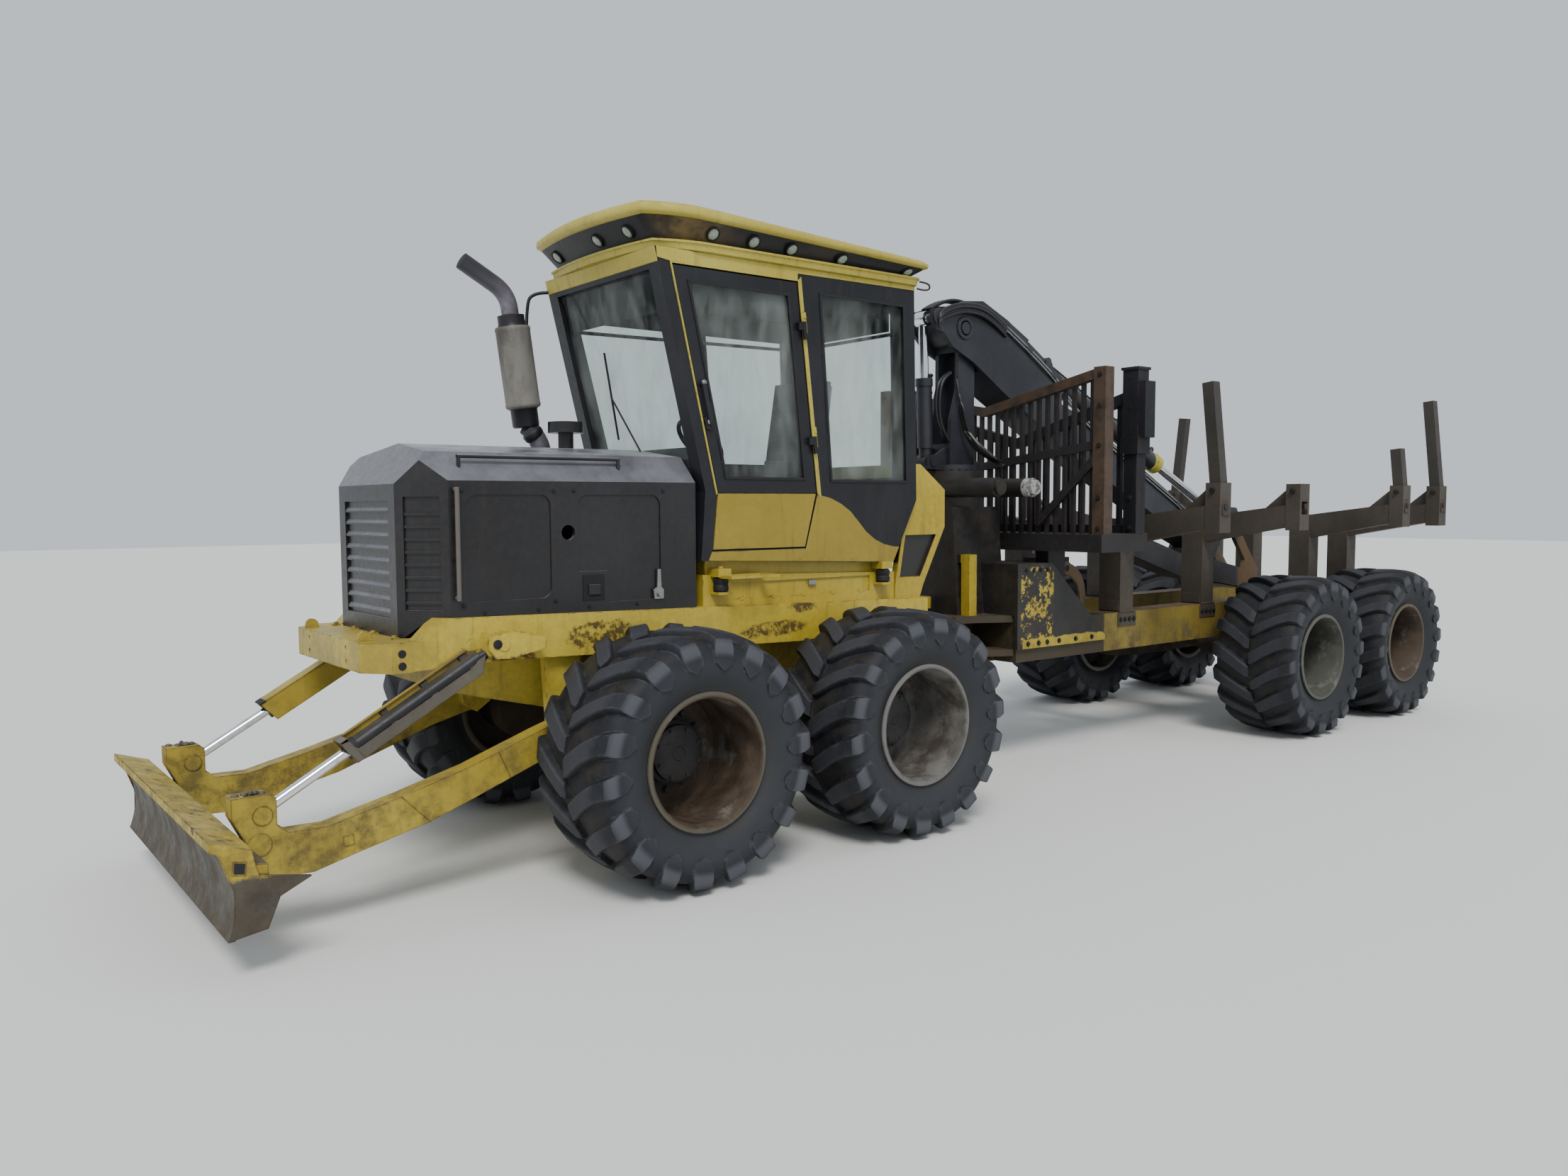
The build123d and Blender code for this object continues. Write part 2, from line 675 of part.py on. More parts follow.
def make_cab():
    shell = side_plate(cab_outline, -cab_half, cab_half)
    inside = [
        (283 - cab_wall - 5, cab_floor),
        (250 - cab_wall, 2050),
        (567 - cab_wall, 3370 - cab_wall),
        (-1430 + cab_wall, 3370 - cab_wall),
        (-1457 + cab_wall, 2000),
        (-1243, cab_floor),
    ]
    shell -= side_plate(inside, -cab_half + cab_wall, cab_half - cab_wall)
    shell -= side_plate(door_outline, cab_half - cab_wall - 5, cab_half + 5)
    shell -= side_plate(quarter_window, cab_half - cab_wall - 5, cab_half + 5)
    for window in (quarter_window, side_window):
        shell -= side_plate(window, -cab_half - 5, -cab_half + cab_wall + 5)
    low, high = windscreen_span
    front_cut = [
        (front_face_station(low) - cab_wall - 20, low),
        (front_face_station(low) + 20, low),
        (front_face_station(high) + 20, high),
        (front_face_station(high) - cab_wall - 20, high),
    ]
    shell -= side_plate(front_cut, -windscreen_half, windscreen_half)
    low, high = rear_window_span
    shell -= block((-1480, -1350), (-rear_window_half, rear_window_half), (low, high))
    for height in door_hinges:
        x, y, _ = hinge_point(height)
        shell += rod_between(hinge_point(height - 45), hinge_point(height - 0.3), 14)
        shell += rod_between(hinge_point(height - 10), hinge_point(height + 56), 8)
        shell += block((x - 34, x), (cab_half - 3, y), (height - 42, height - 4))
    nodes["cab_shell"] = shell

    glass = side_plate(quarter_window, cab_half - 40, cab_half - 32)
    for window in (quarter_window, side_window):
        glass += side_plate(window, -cab_half + 32, -cab_half + 40)
    low, high = windscreen_span
    screen = [
        (front_face_station(low) - 38, low),
        (front_face_station(low) - 30, low),
        (front_face_station(high) - 30, high),
        (front_face_station(high) - 38, high),
    ]
    glass += side_plate(screen, -windscreen_half, windscreen_half)
    low, high = rear_window_span
    pane = [
        (rear_face_station(low) + 30, low),
        (rear_face_station(low) + 38, low),
        (rear_face_station(high) + 38, high),
        (rear_face_station(high) + 30, high),
    ]
    glass += side_plate(pane, -rear_window_half, rear_window_half)
    nodes["cab_glass"] = glass

    door_form = side_plate(grown(door_outline, 8), cab_half - 50, cab_half)
    upper = block((-800, 700), (cab_half - 60, cab_half + 10), (door_split + 2, 3400))
    lower = block((-800, 700), (cab_half - 60, cab_half + 10), (1600, door_split - 2))
    door_window = [(110, 2120), (362, 3240), (-375, 3240), (-500, 2120)]
    frame = door_form & upper
    frame -= side_plate(door_window, cab_half - 60, cab_half + 10)
    handle_low = (222, 2440)
    handle_high = (272, 2660)
    frame += rod_between(
        (handle_low[0], cab_half + 26, handle_low[1]), (handle_high[0], cab_half + 26, handle_high[1]), 14
    )
    for station, height in (handle_low, handle_high):
        frame += rod_between((station, cab_half - 20, height), (station, cab_half + 30, height), 12)
    for height in door_hinges:
        x, y, _ = hinge_point(height)
        knuckle = rod_between(hinge_point(height), hinge_point(height + 60), 14)
        knuckle += block((x, x + 50), (cab_half + 2, y + 6), (height + 8, height + 52))
        knuckle += block((x + 22, x + 50), (cab_half - 20, cab_half + 4), (height + 8, height + 52))
        frame += knuckle - rod_between(hinge_point(height - 5), hinge_point(height + 65), 8 + running_gap)
    nodes["cab_door"] = frame
    nodes["door_panel"] = (door_form & lower) + block(
        (-440, 100), (cab_half - 50, cab_half - 20), (door_split - 10, door_split + 2)
    )
    nodes["door_glass"] = side_plate(door_window, cab_half - 34, cab_half - 26)


# Roof outlines in plan: (rear, front, half width, half width at the front, bow of the front edge)
cap_plan = (-1500.0, 650.0, 750.0, 620.0, 70.0)
band_top_plan = (-1470.0, 625.0, 725.0, 600.0, 60.0)
band_foot_plan = (-1420.0, 520.0, 640.0, 560.0, 45.0)
drip_plan = (-1475.0, 560.0, 690.0, 600.0, 60.0)
drip_top = 3455.0
cap_under_front = 3575.0
cap_under_rear = 3500.0
side_lamps = (205.0, -85.0, -370.0, -770.0, -1336.0)
front_lamps = (413.0, 112.0, -430.0)
lamp_radius = 38.0


def along_roof(station, rear_height, front_height):
    """Height at a station of a plane that falls from the cap's front to its rear."""
    rear, front = cap_plan[:2]
    return rear_height + (front_height - rear_height) * (station - rear) / (front - rear)


def cap_under(station):
    return along_roof(station, cap_under_rear, cap_under_front)


def cap_over(station):
    return along_roof(station, roof_top_rear, roof_top_front)


def front_edge(plan, y):
    """Station of a roof outline's bowed front edge at y."""
    _, front, _, front_half, bow = plan
    share = abs(y) / front_half
    if share > 0.5:
        return front + bow * 0.75 * (1 - share) * 2
    return front + bow * (1 - 0.5 * share)


def roof_outline(plan, height_at):
    rear, front, half, front_half, _ = plan
    corners = [(rear, half), (front - 230, half), (front, front_half)]
    corners += [(front_edge(plan, front_half * 0.5), front_half * 0.5), (front_edge(plan, 0), 0)]
    corners += [(x, -y) for x, y in reversed(corners[:-1])]
    return make_face(Polyline(*[(x, y, height_at(x)) for x, y in corners], close=True))


def make_roof():
    """Drip band, dark lamp band that flares outward, and cap."""
    drip = loft(
        [roof_outline(drip_plan, lambda x: cab_top), roof_outline(drip_plan, lambda x: drip_top)], ruled=True
    )
    cap = loft([roof_outline(cap_plan, cap_under), roof_outline(cap_plan, cap_over)], ruled=True)
    nodes["cab_roof"] = drip + cap
    band = loft(
        [roof_outline(band_foot_plan, lambda x: drip_top), roof_outline(band_top_plan, cap_under)], ruled=True
    )

    def lamp(foot, top):
        """A round lamp square to the slope from foot to top."""
        slope = Vector(*top) - Vector(*foot)
        middle = Vector(*foot) + slope * 0.5
        level = Vector(slope.X, slope.Y, 0).normalized()
        outward = (level * slope.Z - Vector(0, 0, 1) * slope.dot(level)).normalized()
        radius = min(lamp_radius, slope.length / 2 - 5)
        return rod_between(tuple(middle - outward * 40), tuple(middle + outward * 12), radius)

    for station in side_lamps:
        for side in (-1, 1):
            band += lamp(
                (station, side * band_foot_plan[2], drip_top),
                (station, side * band_top_plan[2], cap_under(station)),
            )
    for y in front_lamps:
        foot = (front_edge(band_foot_plan, y), y, drip_top)
        front = front_edge(band_top_plan, y)
        band += lamp(foot, (front, y, cap_under(front)))
    nodes["roof_lights"] = band - cap - drip


def make_cab_base():
    riser_half = 600.0
    top_front, top_rear = 1565.0, 1525.0
    riser = side_plate(
        [(240, beam_top(240)), (240, top_front), (-1300, top_rear), (-1300, beam_top(-1300))],
        -riser_half,
        riser_half,
    )
    riser -= side_plate(
        [(200, beam_top(200) - 40), (200, top_front - 22), (-1260, top_rear - 20), (-1260, beam_top(-1260) - 40)],
        -riser_half + 40,
        riser_half - 40,
    )
    for side in (-1, 1):
        face = side * riser_half
        span = (min(face, face - side * 12), max(face, face - side * 12))
        riser -= block((-1080, 40), (span[0] - 1, span[1] + 1), (1410, 1510))
        for station in (150, -1150):
            riser += upright_pin(station, side * 500, 60, 1520, 1640) - side_plate(
                cab_outline, -cab_half - 10, cab_half + 10
            )
        step_y = sorted((side * 590, side * 790))
        riser += block((-190, 170), step_y, (1545, 1562)) - block(
            (-150, 130), sorted((side * 640, side * 760)), (1540, 1570)
        )
    nodes["cab_riser"] = riser

    seat = block((-900, -450), (-230, 230), (cab_floor, 1990))
    seat += block((-950, -420), (-260, 260), (1985, 2110))
    seat += side_plate([(-960, 2080), (-840, 2080), (-960, 2800), (-1060, 2790)], -240, 240)
    for side in (-1, 1):
        seat += block((-900, -480), sorted((side * 255, side * 330)), (2060, 2250))
    nodes["seat"] = seat

    console = side_plate(
        [(60, cab_floor), (180, cab_floor), (150, 2250), (40, 2330), (-20, 2290), (30, 2200)], -350, 350
    )
    wheel_centre = (-160, 0, 2380)
    console += rod_between((30, 0, 2210), wheel_centre, 30)
    tilt = Vector(-160 - 30, 0, 2380 - 2210)
    console += Plane(origin=wheel_centre, z_dir=tilt) * Torus(170, 15)
    console += Plane(origin=wheel_centre, z_dir=tilt) * Box(330, 40, 16)
    nodes["console"] = console


def make_rear_box():
    half = 610.0
    box_top = 2240.0
    body = side_plate(
        [(-1468, box_top), (-1468, 2010), (-1375, 1815), (-1770, 1815), (-1770, 2070), (-1535, box_top)],
        -half,
        half,
    )
    leg_outer = [
        (-1375, 1816), (-1770, 1816), (-1565, 1430), (-1530, beam_top(-1530)), (-1302, beam_top(-1302)), (-1302, 1430),
    ]
    leg_hole = [(-1395, 1766), (-1690, 1766), (-1535, 1480), (-1342, 1480)]
    side_frame = side_plate(leg_outer, beam_inner + 40, half) - side_plate(leg_hole, beam_inner, half + 10)
    mesh = side_plate(leg_hole, beam_inner + 60, beam_inner + 66)
    nodes["rear_box"] = body + both_sides(side_frame + mesh)


def make_blade():
    # The board's front face is an arc, from its top edge to its cutting edge.
    top_edge = (blade_front - 8, 590)
    belly_point = (blade_front - 88, 390)
    cutting_edge = (blade_front - 60, 185)
    thickness = 28.0
    front_face = ThreePointArc(*[(x, -blade_half, z) for x, z in (top_edge, belly_point, cutting_edge)])
    back = Polyline(
        (cutting_edge[0], -blade_half, cutting_edge[1]),
        (cutting_edge[0] - thickness, -blade_half, cutting_edge[1]),
        (belly_point[0] - thickness, -blade_half, belly_point[1] - 60),
        (belly_point[0] - thickness, -blade_half, belly_point[1] + 60),
        (top_edge[0] - thickness - 15, -blade_half, top_edge[1]),
        (top_edge[0], -blade_half, top_edge[1]),
    )
    board = extrude(make_face(Wire([*front_face.edges(), *back.edges()])), amount=2 * blade_half, dir=(0, 1, 0))
    lip = [(0, 612), (168, 556), (164, 510), (30, 560), (0, 570)]
    board += side_plate([(blade_front - back, z) for back, z in lip], -blade_half, blade_half)
    # Corners of the end plate as (distance behind the front, height).
    end_plate = [(25, 580), (164, 545), (188, 442), (400, 400), (270, 338), (218, 210), (85, 190), (90, 390)]
    end_outline = [(blade_front - back, z) for back, z in end_plate]
    board += both_sides(side_plate(end_outline, blade_half - 25, blade_half))
    beam_rear = [blade_beam_top, blade_beam_foot]
    beam_front = [(blade_front - 105, 500), (blade_front - 100, 310)]
    board += side_plate([beam_front[0], *beam_rear, beam_front[1]], -blade_half + 20, blade_half - 20)
    nodes["blade"] = board

    eye_x, eye_z = blade_ram_eye
    arm_outline = [
        blade_beam_foot, (eye_x - 215, 300), (eye_x - 410, 351), (1962, 436), (1654, 547), (1389, 645), (1135, 712),
        (1135, 888), (1389, 806), (1760, 676), (2103, 583), (eye_x - 280, 501), (eye_x - 109, 505),
        (eye_x - 61, eye_z - 53), (eye_x - 61, eye_z + 72), (eye_x - 29, eye_z + 94), (eye_x + 129, eye_z + 94),
        (eye_x + 129, eye_z + 2), blade_beam_top,
    ]
    arm = side_plate(arm_outline, arm_inner, arm_outer)
    arm += cross_pin(blade_pivot, 95, arm_inner, arm_outer)
    arm -= cross_pin(blade_pivot, blade_pivot_radius + running_gap, arm_inner - 5, arm_outer + 5)
    arm -= block((eye_x - 129, eye_x + 71), (blade_ram_y - 36, blade_ram_y + 36), (eye_z - 73, eye_z + 122))
    for y_from, y_to in ((arm_inner - 6, blade_ram_y - 36), (blade_ram_y + 36, arm_outer + 6)):
        arm += cross_pin(blade_ram_eye, 42, y_from, y_to)
    nodes["blade_arms"] = both_sides(arm)

    barrel, rod = ram(
        (blade_ram_base[0], blade_ram_y, blade_ram_base[1]),
        (blade_ram_eye[0], blade_ram_y, blade_ram_eye[1]),
        (0, 1, 0), 885, (44, 25, 48), 800, 60, 30,
    )
    run_x = blade_ram_eye[0] - blade_ram_base[0]
    run_z = blade_ram_eye[1] - blade_ram_base[1]
    run = math.hypot(run_x, run_z)

    def guard_point(along, up):
        return (
            blade_ram_base[0] + along * run_x / run - up * run_z / run,
            blade_ram_base[1] + along * run_z / run + up * run_x / run,
        )

    guard_outline = [guard_point(100, 0), guard_point(160, 66), guard_point(905, 66), guard_point(870, -66), guard_point(160, -66)]
    guard = side_plate(guard_outline, blade_ram_y - guard_half, blade_ram_y + guard_half)
    hollow = [guard_point(60, -80), guard_point(60, 58), guard_point(960, 58), guard_point(960, -80)]
    guard -= side_plate(hollow, blade_ram_y - guard_half + 8, blade_ram_y + guard_half - 8)
    web = side_plate(
        [guard_point(180, 34), guard_point(180, 62), guard_point(220, 62), guard_point(220, 34)],
        blade_ram_y - guard_half + 4,
        blade_ram_y + guard_half - 4,
    )
    barrel += guard + web
    nodes["blade_barrels"] = both_sides(barrel)
    nodes["blade_rods"] = both_sides(rod)


def make_steering():
    for name, side in (("left", 1), ("right", -1)):
        barrel, rod = ram(
            (steer_base[0], side * steer_base[1], steer_height),
            (steer_eye[0], side * steer_eye[1], steer_height),
            (0, 0, 1), 575, (42, 22, 40), 328, 60, 25,
        )
        nodes[f"steer_barrel_{name}"] = barrel
        nodes[f"steer_rod_{name}"] = rod


def make_rear_frame():
    rail = block((frame_end + 40, rail_front), (rail_inner, rail_outer), (rail_bottom, rail_top))
    frame = both_sides(rail)
    frame += block((frame_end, frame_end + 50), (-rail_outer, rail_outer), (rail_bottom, rail_top))
    for station in (-2620, -3250, -4450, -5560, -7080):
        frame += block((station, station + 120), (-rail_inner - 1, rail_inner + 1), (rail_bottom, rail_bottom + 80))

    neck_outline = mirror_points([
        (hinge_station, hinge_barrel_radius),
        (-2110, 400),
        (-2260, 420),
        (rail_front - 40, rail_outer),
    ])
    for low, high in (rear_neck_low, rear_neck_high):
        frame += plan_plate(neck_outline, low, high)
    frame += block((-2600, -2120), (-170, 170), (rear_neck_low[0], rear_neck_high[1]))
    frame += block((rail_front - 20, rail_front), (-rail_outer, rail_outer), (rail_bottom, rail_top + 50))
    barrel = upright_pin(hinge_station, 0, hinge_barrel_radius, 835, 1165)
    frame += barrel + upright_pin(hinge_station, 0, hinge_pin_radius, 700, 1300)
    for low, high in ((rear_neck_low[1], steer_height - 35), (steer_height + 35, rear_neck_high[0])):
        frame += both_sides(upright_pin(steer_eye[0], steer_eye[1], 45, low, high))

    pocket_station = frame_end + 110
    for low, high in ((880, 910), (990, 1020)):
        ear = block((frame_end + 40, frame_end + 190), (-120, 120), (low, high))
        frame += ear - upright_pin(pocket_station, 0, 22, low - 5, high + 5)
    frame -= block((frame_end - 10, frame_end + 60), (-110, 110), (912, 988))
    nodes["rear_frame"] = frame


def make_crane_base():
    cheek = side_plate(
        [(rail_front, 900), (-3570, 900), (-3570, 940), (-2910, 1530), (rail_front, 1530)],
        rail_outer,
        rail_outer + 30,
    )
    base = both_sides(cheek)
    base += block((rail_front, rail_front + 20), (-rail_outer - 30, rail_outer + 30), (rail_top + 50, 1530))
    base += block((rail_front, rail_front + 20), (-rail_outer - 30, -rail_outer), (900, rail_top + 51))
    base += block((rail_front, rail_front + 20), (rail_outer, rail_outer + 30), (900, rail_top + 51))
    base += block((-2910, rail_front), (-rail_outer - 1, rail_outer + 1), (1510, 1530))
    pedestal_low, pedestal_high = rear_neck_high[1], 1950.0
    pedestal = cross_plate(
        [(-300, pedestal_low), (300, pedestal_low), (240, pedestal_high), (-240, pedestal_high)],
        -2750,
        -2240,
    )
    base += pedestal
    base += upright_pin(slew_station, 0, 245, 1930, housing_top)
    for station in (-2310, -2690):
        base += cross_pin((station, 2090), 70, -620, 620)
        for side in (-1, 1):
            base += cross_pin((station, 2090), 55, *sorted((side * 615, side * 650)))
    base -= upright_pin(slew_station, 0, 120 + running_gap, 1990, housing_top + 5)
    for side in (-1, 1):
        base += block((-2345, -2265), sorted((side * 308, side * 388)), (rear_neck_high[1], 1600))
        base += block((-2345, -2265), sorted((side * 230, side * 320)), (1540, 1600))
    nodes["crane_base"] = base


def v_rail(station_span, half, ends, drop, depth):
    """A rail across the machine that falls to the middle. ends is the top height at each end."""
    x_from, x_to = station_span
    points = [(-half, ends), (0, ends - drop), (half, ends), (half, ends - depth), (0, ends - drop - depth), (-half, ends - depth)]
    return cross_plate(points, x_from, x_to)


def slats(station, half, foot, top_at, count, size):
    """A row of upright square bars from foot up to the height that top_at gives."""
    row = []
    for number in range(count):
        y = -half + 2 * half * (number + 0.5) / count
        row.append(block((station - size / 2, station + size / 2), (y - size / 2, y + size / 2), (foot, top_at(y))))
    return row


def make_gates():
    front, rear = platform_span[1], platform_span[0]
    deck = block((rear, front), (-platform_half, platform_half), (platform_bottom, platform_top))
    deck -= block((rear + 60, front - 60), (-platform_half + 60, platform_half - 60), (platform_bottom - 5, platform_top - 40))
    for side in (-1, 1):
        deck += block((-3150, -2950), sorted((side * 440, side * 560)), (rail_top, platform_top - 30))
    post_half = 50.0
    station = headboard_station
    post_top = 2935.0
    centre_drop = 215.0
    for side in (-1, 1):
        y = side * gate_post_y
        deck += block((station - post_half, station + post_half), (y - post_half, y + post_half), (platform_top - 10, post_top))
        brace = [(side * 1060, 2330), (side * 560, 1870), (side * 560, 1800), (side * 1060, 2250)]
        deck += cross_plate(brace, station + 20, station + 50)
    deck += v_rail((station - 30, station + 30), gate_post_y, post_top, centre_drop, 70)
    deck += v_rail((station - 25, station + 25), gate_post_y, 2425, 130, 60)

    def headboard_top(y):
        return post_top - centre_drop * (1 - abs(y) / gate_post_y) - 30

    for slat in slats(station, gate_post_y - 50, platform_top - 5, headboard_top, 26, 28):
        deck += slat
    nodes["headboard"] = deck

    station = load_gate_station
    gate = Part()
    for side in (-1, 1):
        y = side * gate_post_y
        gate += block((station - 55, station + 55), (y - 55, y + 55), (platform_top, 2335))
        gate += block((station - 75, station + 75), (y - 75, y + 75), (2330, 2450))
        gate += block((station - 65, station + 65), (y - 65, y + 65), (2445, 2940))
        gate += block((station - 60, station + 60), sorted((y + side * 60, y + side * 125)), (2445, 2850))
        gate += block((station - 75, station + 75), (y - 75, y + 75), (2935, 2955))
    gate += v_rail((station - 35, station + 35), gate_post_y, 2800, 310, 80)
    gate += block((station - 35, station + 35), (-gate_post_y, gate_post_y), (platform_top, platform_top + 60))

    def gate_top(y):
        return 2800 - 310 * (1 - abs(y) / gate_post_y) - 40

    for slat in slats(station, gate_post_y - 70, platform_top + 30, gate_top, 18, 34):
        gate += slat
    nodes["load_gate"] = gate


# Stake lengths above the pocket's mouth, by bunk from the front; None has no stake.
stake_tops = (2870.0, None, 2450.0, 2920.0)


def stake_bar(station, size, foot, top):
    """A bar in the left pocket that leans towards the middle."""
    middle = (bunk_pocket_inner + bunk_pocket_outer) / 2
    lean = math.radians(stake_lean)
    length = (top - foot) / math.cos(lean)
    bar = Box(size, size, length, align=(Align.CENTER, Align.CENTER, Align.MIN))
    return Pos(station, middle + 25, foot) * Rot(stake_lean, 0, 0) * bar


def make_bunks():
    bunks = Part()
    stakes = Part()
    pocket_floor = bunk_pocket_top - 250
    for station, stake_top in zip(bunk_stations, stake_tops):
        bunk = block((station - 90, station + 90), (rail_inner, rail_outer), (rail_top, 1720))
        arm = [
            (rail_inner, 1600), (bunk_pocket_inner, 1775), (bunk_pocket_inner + 5, 1775),
            (bunk_pocket_inner + 5, 1950), (rail_inner, 1830),
        ]
        bunk += cross_plate(arm, station - 70, station + 70)
        bunk += block(
            (station - 75, station + 75), (bunk_pocket_inner, bunk_pocket_outer), (1745, bunk_pocket_top)
        )
        gusset = [(bunk_pocket_inner - 230, 1905), (bunk_pocket_inner + 5, 1930), (bunk_pocket_inner + 5, 2100)]
        bunk += cross_plate(gusset, station - 15, station + 15)
        bunk -= stake_bar(station, stake_size - 8, pocket_floor, bunk_pocket_top + 200)
        bunks += both_sides(bunk)
        if stake_top:
            stake = stake_bar(station, stake_size - 9, pocket_floor + 0.3, stake_top)
            stakes += both_sides(stake)
    nodes["bunks"] = bunks
    nodes["stakes"] = stakes


def make_mast():
    half = 120.0
    root = housing_top + 0.5
    mast = upright_pin(slew_station, 0, 120, 2010, root + 30)
    mast += upright_pin(slew_station, 0, 210, root, root + 45)
    mast += block((-2600, -2340), (-half, half), (root + 40, 2420))
    column = side_plate(
        [(-2600, 2400), (-2340, 2400), (-2350, 2600), (-2425, 2850), (-2425, 3200), (-2600, 3200)], -half, half
    )
    column += cross_pin(boom_pivot, 130, -half, half)
    column += side_plate([(-2600, 3190), (-2425, 3190), (-2400, 3260), (-2500, 3380), (-2575, 3300)], -half, half)
    groove = side_plate(
        [(-2300, 2425), (-2520, 2425), (-2520, 3110), (-2300, 3110)], -half + 35, half - 35
    )
    mast += column - groove
    mast += cross_pin(boom_pivot, boom_pin_radius, -boom_cheek - 15, boom_cheek + 15)
    ear_outline = [
        (-2340, root + 40), (-2280, root + 5), (lift_base[0] + 45, root + 15), (lift_base[0] + 50, lift_base[1] + 40),
        (lift_base[0] - 30, lift_base[1] + 55), (-2345, 2400),
    ]
    for side in (-1, 1):
        mast += side_plate(ear_outline, *sorted((side * 56, side * 80)))
    mast += cross_pin(lift_base, 32, -90, 90)
    nodes["crane_mast"] = mast

    barrel, rod = ram(
        (lift_base[0], 0, lift_base[1]), (lift_eye[0], 0, lift_eye[1]),
        (0, 1, 0), 620, (58, 35, 55), 500, 100, 32,
    )
    nodes["lift_barrel"] = barrel
    nodes["lift_rod"] = rod


def make_boom():
    """The bent main boom: cheeks round the mast's head, then a box to the elbow."""
    cheek_outline = [
        (-2105, 3390), (-2110, 3300), (-2200, 3260), (-2330, 3130), (-2540, 3040), (-2920, 2812), (-3600, 2460),
        (-3600, 2990), (-2940, 3380), (-2650, 3500), (-2450, 3480), (-2250, 3420),
    ]
    box_outline = [
        (-2650, 2975), (-2920, 2812), (-3750, 2380), (-4770, 1950), (-5450, 1640), (-5700, 1550), (-5860, 1545),
        (-5940, 1600), (-5960, 1700), (-5860, 1790), (-5520, 1900), (-4770, 2270), (-3950, 2670), (-3400, 2860),
        (-2940, 3120), (-2650, 3260),
    ]
    boom = side_plate(box_outline, -boom_half, boom_half)
    boom += cross_pin(elbow, 115, -boom_half + 3, boom_half - 3)
    for side in (-1, 1):
        boom += side_plate(cheek_outline, *sorted((side * boom_half, side * boom_cheek)))
        for point, radius in ((lift_eye, 32), (fold_base, 36)):
            boom += cross_pin(point, radius, *sorted((side * 62, side * (boom_cheek + 8))))
    boom += cross_pin(fold_base, 36, -70, 70)
    boom -= cross_pin(boom_pivot, boom_pin_radius + running_gap, -boom_cheek - 20, boom_cheek + 20)
    boom += cross_pin(elbow, elbow_pin_radius, -stick_cheek[1] - 12, stick_cheek[1] + 12)
    nodes["main_boom"] = boom

    barrel, rod = ram(
        (fold_base[0], 0, fold_base[1]), (fold_eye[0], 0, fold_eye[1]),
        (0, 1, 0), 1900, (75, 40, 62), 1700, 110, 36,
    )
    nodes["fold_barrel"] = barrel
    nodes["fold_rod"] = rod


def make_stick():
    box_outline = [
        (-6560, 1130), (-5450, 1290), (-4630, 1515), (-3770, 1766), (-3770, 1933), (-4630, 1735), (-5450, 1500),
        (-6300, 1345), (-6590, 1290),
    ]
    stick = side_plate(box_outline, -stick_half, stick_half)
    stick += cross_pin(stick_tip, 62, -50, 50)
    stick += side_plate([(-3790, 1780), (-3630, 1834), (-3620, 1956), (-3790, 1925)], -50, 50)
    cheek_outline = [
        (-5740, 1700), (-5800, 1775), (-6130, 1930), (-6230, 1925), (-6285, 1850), (-6270, 1760), (-6430, 1560),
        (-6640, 1330), (-6620, 1180), (-6540, 1140), (-5560, 1285), (-5560, 1420),
    ]
    window = [(-6000, 1660), (-6170, 1690), (-6400, 1420), (-6380, 1340), (-5850, 1440)]
    for side in (-1, 1):
        cheek = side_plate(cheek_outline, *sorted((side * stick_cheek[0], side * stick_cheek[1])))
        cheek -= side_plate(window, *sorted((side * 100, side * 200)))
        cheek -= cross_pin(elbow, elbow_pin_radius + running_gap, *sorted((side * 100, side * 200)))
        cheek += side_plate(
            [(-6520, 1180), (-5620, 1310), (-5620, 1400), (-6520, 1270)],
            *sorted((side * (stick_half - 1), side * (stick_cheek[0] + 1))),
        )
        cheek += cross_pin(fold_eye, 40, *sorted((side * 62, side * (stick_cheek[1] + 8))))
        stick += cheek
    stick -= cross_pin(stick_tip, 30 + running_gap, -60, 60)
    nodes["stick"] = stick


